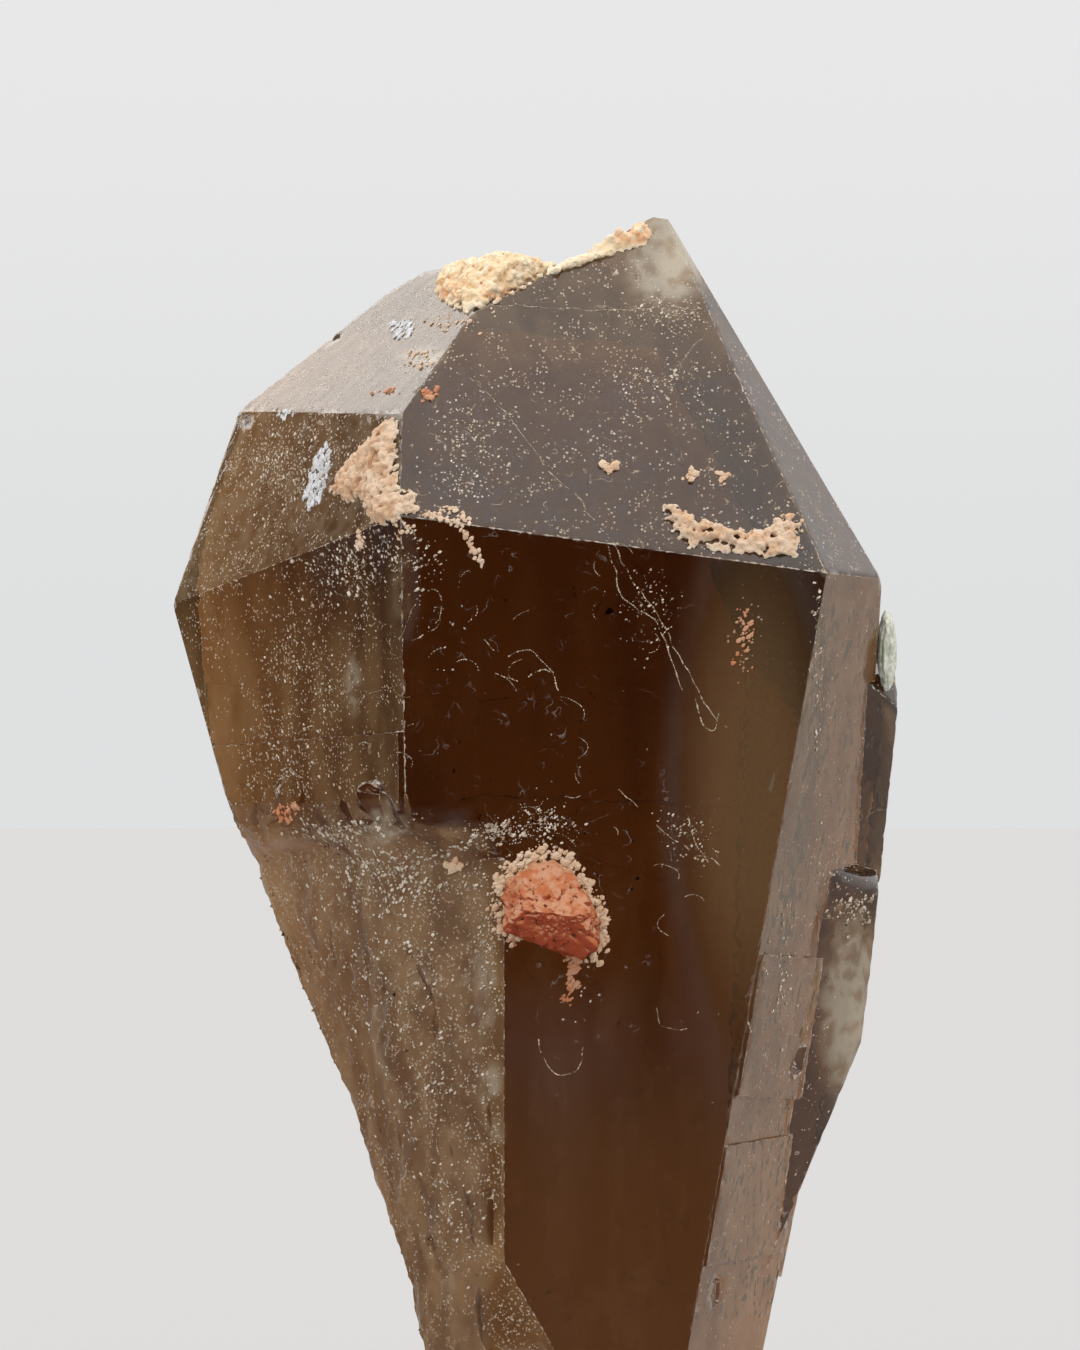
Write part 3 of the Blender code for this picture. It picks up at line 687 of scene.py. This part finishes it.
def paint_hollows(data, ground, rim_height):
    """Marks the hollows of a crumbly piece, where shade is painted, its rusty places, and its rim close to the
    quartz.
    """
    places = read(data.vertices, "co", 3) / MM
    normals = read(data.vertices, "normal", 3)
    around = smooth_places(data, places, np.ones(len(places)), 6)
    # Painted shade: how deep each vertex lies in a hollow, which darkens its colour
    hollow_shade = soft(((around - places) * normals).sum(axis=1) * HOLLOW_CONTRAST + 0.1)
    rim = [soft(1.0 - ground.tree.find_nearest(Vector(place) * MM)[3] / MM / rim_height) for place in places]
    skin = Skin(data)
    skin.paint("hollow_shade", hollow_shade[skin.vertex])
    skin.paint("rim", np.array(rim)[skin.vertex])
    rusty = [skin.spot(*place) for place in RUSTY_PLACES]
    skin.paint("rusty", 0.8 * np.maximum.reduce(rusty) * skin.mottle(0.8, -0.4, 0.3))


def inside(outline, x, z):
    """Whether a place lies in the outline."""
    found = False
    for (ax, az), (bx, bz) in zip(outline, outline[1:] + outline[:1]):
        if (az > z) != (bz > z) and x < (bx - ax) * (z - az) / (bz - az) + ax:
            found = not found
    return found


def from_rim(outline, x, z):
    """How far a place is from the outline."""
    place = Vector((x, z))
    nearest = 1e9
    for a, b in zip(outline, outline[1:] + outline[:1]):
        start, along = Vector(a), Vector(b) - Vector(a)
        share = min(1.0, max(0.0, (place - start).dot(along) / along.length_squared))
        nearest = min(nearest, (place - start - along * share).length)
    return nearest


def strewn_in(outline, per_square_mm, rng):
    """Random places in the outline."""
    xs, zs = [x for x, _ in outline], [z for _, z in outline]
    area = (max(xs) - min(xs)) * (max(zs) - min(zs))
    for _ in range(int(area * per_square_mm)):
        x, z = rng.uniform(min(xs), max(xs)), rng.uniform(min(zs), max(zs))
        if inside(outline, x, z):
            yield x, z


def crust(name, node, outlines, thick, look, ground, seed, cover=22):
    """A crumbly crust that fills its outlines on the quartz, its cover in crumbs for each square millimetre."""
    low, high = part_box(node)
    middle = (low[1] + high[1]) / 2
    crumbs = Crumbs(seed)
    rng = crumbs.rng
    for outline in outlines:
        for x, z in strewn_in(outline, cover, rng):
            inward = min(1.0, from_rim(outline, x, z) / CRUST_EDGE)
            size = rng.uniform(*CRUST_GRAINS) * (0.6 + 0.4 * inward)
            point, normal = ground.seen(x, z, near=middle)
            lift = thick * inward * rng.uniform(0.0, 0.9)
            crumbs.add(point + normal * lift * MM, normal, size, flat=rng.uniform(0.7, 1.2), sink=0.4)
            if lift > 0.3:
                crumbs.add(point + normal * lift * 0.4 * MM, normal, size * 1.3, flat=1.0, sink=0.5)
    data = run_together(crumbs.mesh(name), CRUST_VOXEL)
    crumble(data, CRUMBLE_SIZE, CRUMBLE_DEPTH)
    paint_hollows(data, ground, CRUST_RIM)
    link_piece(name, data, look, node)


def grain(look, ground):
    """The big red grain: a broken block with a sloping top and a steep lower side."""
    low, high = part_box("feldspar_grain")
    centre = Vector([(a + b) / 2 for a, b in zip(low, high)])
    mesh = bmesh.new()
    bmesh.ops.create_icosphere(mesh, subdivisions=6, radius=1.0)
    for vert in mesh.verts:
        reach = min(far / max(0.05, facing(a, e).dot(vert.co)) for a, e, far in GRAIN_SIDES)
        reach = min(reach, GRAIN_REACH)
        place = vert.co * reach
        broken = noise.fractal(place * 0.75, 0.8, 2.0, 5) * 0.34
        pits = min(0.0, noise.noise(place * 1.9) + 0.1) * 0.7
        vert.co = centre + vert.co * (reach + broken + pits) * MM
    data = to_data("red_grain", mesh)
    data.shade_smooth()
    paint_hollows(data, ground, GRAIN_RIM_HEIGHT)
    skin = Skin(data)
    # Painted shade: faces that look down get the dark red of a shaded lower side
    skin.paint("low", soft(0.5 - skin.normal[:, 2] * 2.0))
    link_piece("red_grain", data, look, "feldspar_grain")


def red_grain_look():
    """Red feldspar: paler at its rim, with painted shade that makes it deeper red on its lower side and darkest
    in its hollows.
    """
    look = Shader("feldspar_red_look")
    spots = look.noise(0.5, 5.0, 0.75)
    top = look.mix(look.between(look.noise(1.3, 4.0, 0.6), 0.4, 0.6), *RED_TOP_COLORS)
    rim = look.between(look.math("ADD", look.painted("rim"), spots), 0.85, 1.2)
    tone = look.mix(rim, top, RED_RIM_COLOR)
    # Painted shade on the lower side
    tone = look.mix(look.painted("low"), tone, RED_UNDERSIDE_SHADE_COLOR)
    # Painted shade in the hollows
    hollow_shade = look.between(look.math("ADD", look.painted("hollow_shade"), spots), 0.8, 1.15)
    tone = look.mix(hollow_shade, tone, RED_HOLLOW_SHADE_COLOR)
    look.set(
        Base_Color=tone,
        Roughness=look.between(spots, 0.3, 0.7, 0.45, 0.85),
        Normal=look.bump(look.noise(0.18, 4.0, 0.75), 0.05),
    )
    return look.material


def flake(look):
    """The lens of pale mineral on the right edge, built of thin leaves."""
    low, high = (Vector(corner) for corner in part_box("pale_flake"))
    centre, reach = (low + high) / 2, (high - low) / 2
    mesh = bmesh.new()
    bmesh.ops.create_uvsphere(mesh, u_segments=64, v_segments=48, radius=1.0)
    for vert in mesh.verts:
        way = vert.co.copy()
        leaves = 0.05 * math.sin(way.y * 26.0 + 3.0 * noise.noise(way * 1.5))
        swell = 0.9 + 0.10 * noise.fractal(way * 2.4, 0.9, 2.0, 4) + leaves
        vert.co = centre + Vector([a * b for a, b in zip(way * min(1.0, swell), reach)])
    data = to_data("mica_flake", mesh)
    data.shade_smooth()
    link_piece("mica_flake", data, look, "pale_flake")


def along_path(points, step):
    """Places along a smooth path through the points, with the direction at each."""
    ends = [points[0], *points, points[-1]]
    for a, b, c, d in zip(ends, ends[1:], ends[2:], ends[3:]):
        a, b, c, d = (Vector(point) for point in (a, b, c, d))
        slope, bend, twist = c - a, a * 2 - b * 5 + c * 4 - d, b * 3 - a - c * 3 + d
        parts = max(1, int((c - b).length / step))
        for number in range(parts):
            t = number / parts
            place = b + slope * t / 2 + bend * t * t / 2 + twist * t ** 3 / 2
            way = slope / 2 + bend * t + twist * t * t * 1.5
            yield (*place, *way.normalized())


def thread(crumbs, ground, points, width, whole=0.75, wander=0.25, seed=0.0, behind=False):
    """A thin broken line of flakes that follows a path on the quartz."""
    rng = crumbs.rng
    for x, z, dx, dz in along_path(points, width * 1.5):
        bend = noise.noise(Vector((x * 0.8, z * 0.8, seed))) * wander
        present = noise.noise(Vector((x * 0.9, z * 0.9, seed + 7.0))) * 0.5 + 0.5
        if present > whole or rng.random() < 0.1:
            continue
        point, normal = ground.seen(x - dz * bend, z + dx * bend, behind)
        size = width * rng.uniform(0.25, 0.6)
        crumbs.add(point, normal, size, flat=0.3, along=Vector((dx, 0.0, dz)), stretch=2.0, sink=0.1)


def scatter(crumbs, ground, x, z, across, along, count, small, large, behind=False):
    """Grains strewn round a place, closest in its middle."""
    rng = crumbs.rng
    for _ in range(count):
        point, normal = ground.seen(x + rng.gauss(0, across / 2), z + rng.gauss(0, along / 2), behind)
        size = small + (large - small) * rng.random() ** 3
        crumbs.add(point, normal, size, flat=rng.uniform(0.3, 0.8), stretch=rng.uniform(1.0, 1.8))


def strew_along(crumbs, ground, points, spread, step, small, large):
    """Grains strewn along a path, one after each step."""
    rng = crumbs.rng
    for x, z, _, _ in along_path(points, step):
        point, normal = ground.seen(x + rng.gauss(0, spread), z + rng.gauss(0, spread))
        size = small + (large - small) * rng.random() ** 2
        crumbs.add(point, normal, size, flat=rng.uniform(0.6, 1.0), sink=0.35, stretch=rng.uniform(1.0, 1.5))


def pale_threads(ground, look):
    """The fine pale lines on the crystal: scratches, healed cracks and wisps."""
    crumbs = Crumbs(31)
    # Each line: the points that it passes, how wide it is in millimetres, and how much of it is whole
    paths = [
        ([(5.7, 72.0), (6.3, 70.4), (7.3, 67.2), (9.7, 65.6), (10.9, 62.8), (12.0, 60.0)], 0.13, 0.75),
        ([(6.3, 72.0), (7.3, 70.0), (8.5, 68.0), (10.0, 66.0), (11.1, 63.6), (12.5, 61.4), (13.6, 59.2),
          (14.8, 57.4), (16.1, 56.8)], 0.12, 0.7),
        ([(12.9, 59.2), (13.7, 57.2), (14.5, 56.8), (14.9, 58.2)], 0.14, 0.8),
        ([(-5.9, 91.2), (-1.1, 91.0), (4.5, 90.7), (9.3, 90.9), (13.7, 90.8)], 0.10, 0.8),
        ([(-5.1, 85.2), (-2.7, 82.8), (-0.7, 80.4), (0.9, 78.0)], 0.10, 0.8),
        ([(1.3, 77.6), (3.3, 75.6), (5.1, 73.2), (6.9, 71.6)], 0.12, 0.65),
        ([(7.3, 82.4), (10.5, 85.2), (13.7, 88.4)], 0.08, 0.6),
        ([(-10.7, 64.0), (-9.7, 66.4), (-8.3, 68.0), (-7.3, 66.8), (-8.7, 64.4), (-10.7, 64.0)], 0.12, 0.6),
        ([(-3.9, 64.0), (-2.3, 62.8), (-0.3, 63.2), (1.7, 61.4)], 0.12, 0.7),
        ([(-3.1, 61.4), (-1.1, 60.8), (0.9, 61.8), (2.1, 60.0)], 0.12, 0.6),
        ([(0.5, 32.0), (0.9, 30.2), (2.1, 29.1), (3.6, 29.6), (4.0, 31.4)], 0.12, 0.8),
        ([(9.7, 34.4), (10.5, 33.0), (12.1, 32.8), (13.3, 34.2)], 0.09, 0.6),
        ([(6.9, 52.0), (9.3, 49.6), (12.5, 47.2), (13.7, 45.6)], 0.10, 0.55),
        ([(12.5, 49.6), (13.2, 47.2), (14.3, 45.8)], 0.14, 0.75),
        ([(-23.7, 82.2), (-19.5, 82.5), (-15.5, 82.2), (-11.0, 82.0)], 0.20, 0.8),
        ([(-2.5, 22.4), (-2.5, 20.8), (-2.4, 19.2)], 0.10, 0.9),
        ([(-8.3, 25.8), (-7.5, 21.6), (-6.5, 16.2)], 0.12, 0.6),
        ([(17.2, 33.2), (17.8, 32.0), (19.0, 30.2)], 0.16, 0.7),
    ]
    for number, (points, width, whole) in enumerate(paths):
        thread(crumbs, ground, points, width, whole, seed=number * 3.1)
    curl_places = [(-7.0, 64.0), (-1.0, 62.0), (13.0, 46.0), (-14.0, 58.0), (3.0, 52.0), (8.0, 67.0)]
    curls, threads_behind = 46, 24
    rng = random.Random(5)
    for number in range(curls):
        x, z = rng.choice(curl_places)
        x, z = x + rng.gauss(0, 3.0), z + rng.gauss(0, 3.5)
        radius, start, sweep = rng.uniform(0.5, 1.9), rng.uniform(0, 6.3), rng.uniform(0.8, 2.8)
        turns = [start + sweep * step / 8 for step in range(9)]
        points = [(x + radius * math.cos(turn), z + radius * 0.7 * math.sin(turn)) for turn in turns]
        thread(crumbs, ground, points, rng.uniform(0.06, 0.11), 0.7, seed=number * 1.7)
    for number in range(threads_behind):
        x, z = rng.uniform(-14.0, 16.0), rng.uniform(8.0, 80.0)
        middle = (x + rng.gauss(0, 2.0), z + rng.gauss(0, 2.5))
        end = (x + rng.gauss(0, 3.0), z + rng.gauss(0, 4))
        width = rng.uniform(0.07, 0.12)
        thread(crumbs, ground, [(x, z), middle, end], width, 0.6, seed=number * 2.3, behind=True)
    link_piece("pale_threads", crumbs.mesh("pale_threads"), look)


def pale_grains(ground, look):
    """White and cream grains: along the ledge, on the stem and in drifts on the faces."""
    crumbs = Crumbs(47)
    copies, finer_small, finer_large = 2, 0.6, 0.7
    # Each drift: its place, its reach across and up, its number of grains, and their least and greatest size
    drifts = [
        (-20.5, 77.5, 3.5, 4.0, 150, 0.05, 0.22), (-17.0, 79.0, 2.5, 2.5, 60, 0.05, 0.25),
        (-14.5, 70.0, 4.0, 3.0, 150, 0.05, 0.26), (-17.5, 62.0, 4.5, 5.5, 130, 0.05, 0.2),
        (-20.0, 54.5, 4.0, 4.5, 130, 0.05, 0.22), (-9.5, 70.5, 2.5, 2.0, 50, 0.05, 0.2),
        (-5.5, 79.0, 3.0, 4.5, 70, 0.05, 0.2), (11.0, 90.5, 3.5, 1.6, 70, 0.05, 0.2),
        (10.0, 84.8, 5.0, 2.0, 70, 0.05, 0.18), (-12.0, 45.0, 7.0, 3.5, 300, 0.06, 0.26),
        (-3.0, 48.6, 3.0, 0.8, 50, 0.06, 0.28), (0.8, 49.3, 2.6, 1.8, 60, 0.05, 0.18),
        (-15.5, 48.6, 3.5, 0.9, 120, 0.06, 0.26), (12.6, 48.4, 2.6, 2.2, 60, 0.04, 0.16),
        (9.6, 66.8, 2.4, 3.2, 50, 0.04, 0.14),
        (-12.5, 38.0, 5.0, 6.0, 190, 0.06, 0.24), (-9.0, 29.0, 4.0, 7.0, 170, 0.06, 0.22),
        (-7.0, 18.0, 3.0, 6.0, 110, 0.06, 0.22), (-3.6, 39.0, 0.9, 6.0, 90, 0.05, 0.2),
        (26.0, 42.5, 2.0, 1.6, 60, 0.08, 0.3), (22.5, 30.0, 2.0, 8.0, 60, 0.05, 0.16),
        (22.8, 62.0, 0.5, 8.0, 70, 0.06, 0.2), (20.0, 36.0, 1.0, 6.0, 60, 0.06, 0.22),
    ]
    for x, z, across, along, count, small, large in drifts:
        sizes = small * finer_small, large * finer_large
        scatter(crumbs, ground, x, z, across, along, count * copies, *sizes)
    drifts_behind = [(-12.0, 40.0, 8.0, 14.0, 160), (6.0, 50.0, 9.0, 18.0, 50), (4.0, 80.0, 8.0, 6.0, 80)]
    for drift in drifts_behind:
        scatter(crumbs, ground, *drift, 0.05, 0.2, behind=True)
    ledge = [
        ([(-17.9, 49.0), (-15.9, 48.2), (-13.5, 47.2), (-11.1, 46.4), (-8.3, 46.6), (-5.2, 47.6)], 0.34),
        ([(-5.2, 47.6), (-3.5, 48.4), (-1.9, 49.1), (-1.3, 50.2)], 0.3),
        ([(-17.2, 48.0), (-14.7, 47.0), (-12.9, 45.6), (-10.7, 45.4)], 0.26),
    ]
    for number, (points, width) in enumerate(ledge):
        for copy in range(2):
            thread(crumbs, ground, points, width * (0.8 - 0.2 * copy), 0.6, 0.9, seed=number + copy * 5.0)
    link_piece("pale_grains", crumbs.mesh("pale_grains"), look)


def white_patches(ground, look):
    """Patches of white crust on the upper left."""
    patches = [
        [(-18.7, 75.2), (-18.3, 76.8), (-17.6, 78.8), (-16.8, 80.0), (-16.3, 79.5), (-16.6, 77.6),
         (-17.2, 75.2), (-18.2, 74.6)],
        [(-11.8, 89.8), (-10.8, 90.2), (-9.6, 89.6), (-9.9, 88.6), (-11.2, 88.5)],
        [(-21.0, 82.3), (-20.3, 82.9), (-19.4, 82.4), (-20.3, 82.0)],
    ]
    crumbs = Crumbs(53)
    rng = crumbs.rng
    flakes_per_square_mm = 30
    for outline in patches:
        for x, z in strewn_in(outline, flakes_per_square_mm, rng):
            point, normal = ground.seen(x, z)
            crumbs.add(point, normal, rng.uniform(0.1, 0.3), flat=0.35, stretch=1.4, sink=0.3)
    link_piece("white_patches", crumbs.mesh("white_patches"), look)


def feldspar_crumbs(ground, peach, red):
    """Small feldspar grains: single ones, the drifts beside the crusts, and the tail of the red grain."""
    # Each drift: its place, its reach across and up, its number of grains, and their least and greatest size
    peach_drifts = [
        (5.7, 78.1, 0.35, 0.25, 16, 0.15, 0.4), (6.5, 78.0, 0.3, 0.25, 12, 0.15, 0.4),
        (6.1, 77.6, 0.2, 0.2, 8, 0.15, 0.3), (12.8, 77.3, 0.5, 0.4, 14, 0.15, 0.4),
        (15.2, 77.1, 0.5, 0.4, 12, 0.15, 0.4), (-13.9, 71.9, 0.3, 0.9, 26, 0.1, 0.3),
        (-6.5, 45.8, 0.6, 0.5, 12, 0.3, 0.6), (-10.5, 73.0, 1.6, 0.8, 26, 0.08, 0.24),
        (20.6, 72.5, 1.0, 1.5, 40, 0.1, 0.3), (-4.6, 93.0, 3.0, 1.6, 60, 0.1, 0.3),
        (-9.0, 86.8, 1.8, 1.0, 50, 0.05, 0.2), (-6.5, 89.6, 2.0, 1.0, 60, 0.05, 0.22),
    ]
    red_drifts = [
        (3.2, 38.2, 0.7, 0.9, 40, 0.12, 0.35), (3.2, 36.4, 0.6, 0.9, 30, 0.1, 0.28),
        (2.8, 35.2, 0.5, 0.4, 12, 0.1, 0.2), (-1.6, 40.2, 0.3, 1.2, 22, 0.1, 0.25),
        (5.4, 40.6, 0.4, 1.6, 30, 0.1, 0.25), (16.8, 64.6, 0.9, 3.0, 60, 0.06, 0.22),
        (-20.0, 50.2, 0.9, 0.8, 36, 0.1, 0.35), (-8.4, 83.7, 0.5, 0.35, 16, 0.15, 0.4),
        (-11.8, 84.1, 1.0, 0.3, 16, 0.1, 0.25),
    ]
    crumbs = Crumbs(61)
    for drift in peach_drifts:
        scatter(crumbs, ground, *drift)
    branch = [(-8.7, 74.0), (-7.1, 73.8), (-5.7, 72.8), (-4.8, 71.4), (-4.0, 69.9)]
    strew_along(crumbs, ground, branch, 0.14, 0.07, 0.08, 0.24)
    strew_along(crumbs, ground, [(-8.3, 74.2), (-6.3, 74.4), (-5.1, 73.4)], 0.2, 0.1, 0.08, 0.24)
    strew_along(crumbs, ground, GRAIN_RIM, 0.34, 0.045, 0.06, 0.36)
    link_piece("peach_crumbs", crumbs.mesh("peach_crumbs"), peach)

    crumbs = Crumbs(67)
    for drift in red_drifts:
        scatter(crumbs, ground, *drift)
    link_piece("red_crumbs", crumbs.mesh("red_crumbs"), red)


def add_camera():
    data = bpy.data.cameras.new("Camera")
    data.sensor_width = SENSOR
    data.lens = SENSOR * CAMERA_DISTANCE / VIEW_HEIGHT
    camera = bpy.data.objects.new("Camera", data)
    camera.location = (VIEW_CENTRE[0], CAD_BOX[0].y - CAMERA_DISTANCE, VIEW_CENTRE[1])
    camera.rotation_euler = (math.radians(90), 0.0, 0.0)
    bpy.context.scene.collection.objects.link(camera)
    bpy.context.scene.camera = camera


def add_light():
    """An even studio dome, pale at the horizon and bright overhead."""
    world = bpy.data.worlds.new("Studio")
    bpy.context.scene.world = world
    world.use_nodes = True
    nodes, links = world.node_tree.nodes, world.node_tree.links
    direction = nodes.new("ShaderNodeTexCoord")
    split = nodes.new("ShaderNodeSeparateXYZ")
    ramp = nodes.new("ShaderNodeValToRGB").color_ramp
    ramp.interpolation = "EASE"
    for _ in range(len(SKY) - 2):
        ramp.elements.new(0.5)
    for element, (height, color) in zip(ramp.elements, SKY):
        element.position = height
        element.color = (*color, 1.0)
    links.new(direction.outputs["Generated"], split.inputs[0])
    links.new(split.outputs["Z"], nodes["Color Ramp"].inputs["Fac"])
    lamp = nodes.new("ShaderNodeVectorMath")
    lamp.operation = "DOT_PRODUCT"
    lamp.inputs[1].default_value = facing(*LAMP_AT)
    links.new(direction.outputs["Generated"], lamp.inputs[0])
    near = nodes.new("ShaderNodeMapRange")
    near.interpolation_type = "SMOOTHSTEP"
    near.inputs["From Min"].default_value = math.cos(math.radians(LAMP_SIZE))
    links.new(lamp.outputs["Value"], near.inputs["Value"])
    both = nodes.new("ShaderNodeMix")
    both.data_type = "RGBA"
    both.blend_type = "ADD"
    both.inputs[7].default_value = (*LAMP_LIGHT, 1.0)
    links.new(near.outputs[0], both.inputs[0])
    links.new(nodes["Color Ramp"].outputs["Color"], both.inputs[6])
    links.new(both.outputs[2], nodes["Background"].inputs["Color"])


def link_stage(name, mesh, look):
    """A piece of the stage, which is not part of the crystal."""
    data = to_data(name, mesh)
    data.materials.append(look.material)
    piece = bpy.data.objects.new(name, data)
    bpy.context.scene.collection.objects.link(piece)
    piece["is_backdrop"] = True
    return piece


def add_floor():
    """A plain round floor that shows no gloss."""
    mesh = bmesh.new()
    bmesh.ops.create_circle(mesh, cap_ends=True, segments=96, radius=FLOOR_SIZE / 2)
    look = Shader("floor_look")
    look.set(Base_Color=FLOOR_COLOR, Roughness=1.0)
    look.surface.inputs["Specular IOR Level"].default_value = 0.0
    link_stage("floor", mesh, look)


def add_black_card():
    """A black card bent round the front and left of the crystal, which only reflections see."""
    mesh = bmesh.new()
    start = facing(CARD_START, 0.0)
    line = [mesh.verts.new((start.x * far, start.y * far, height)) for far, height in CARD_PROFILE]
    edges = [mesh.edges.new(pair) for pair in zip(line, line[1:])]
    turn = math.radians(CARD_END - CARD_START)
    bmesh.ops.spin(mesh, geom=line + edges, axis=(0.0, 0.0, 1.0), cent=(0.0, 0.0, 0.0), angle=turn, steps=48)
    look = Shader("black_card_look")
    look.set(Base_Color=CARD_COLOR, Roughness=1.0)
    card = link_stage("black_card", mesh, look)
    card.visible_camera = card.visible_diffuse = card.visible_transmission = card.visible_shadow = False


def main():
    add_camera()
    add_light()
    add_floor()
    add_black_card()
    ground = Ground(add_quartz())
    peach = feldspar_look("feldspar_peach_look", *PEACH_COLORS)
    orange = feldspar_look("feldspar_orange_look", *ORANGE_COLORS)
    cream = feldspar_look("feldspar_cream_look", *CREAM_COLORS)
    crust("left_crust", "feldspar_left_crust", [LEFT_CRUST], 0.9, peach, ground, 71)
    crust("right_crust", "feldspar_right_crust", [RIGHT_CRUST], 0.7, peach, ground, 73, cover=11)
    crust("ridge_crust", "feldspar_ridge_crust", [RIDGE_LUMP, RIDGE_STRIP], 1.0, cream, ground, 79)
    grain(red_grain_look(), ground)
    flake(pale_look("pale_mica_look", *MICA_COLORS))
    pale_threads(ground, pale_look("pale_wisp_look", *WISP_COLORS))
    pale_grains(ground, pale_look("pale_dust_look", *DUST_COLORS))
    white_patches(ground, pale_look("white_crust_look", *WHITE_COLORS))
    feldspar_crumbs(ground, peach, orange)
    bpy.context.scene.view_settings.view_transform = "Standard"
    [[list(corner) for corner in box] for box in (CAD_BOX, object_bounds())]


main()
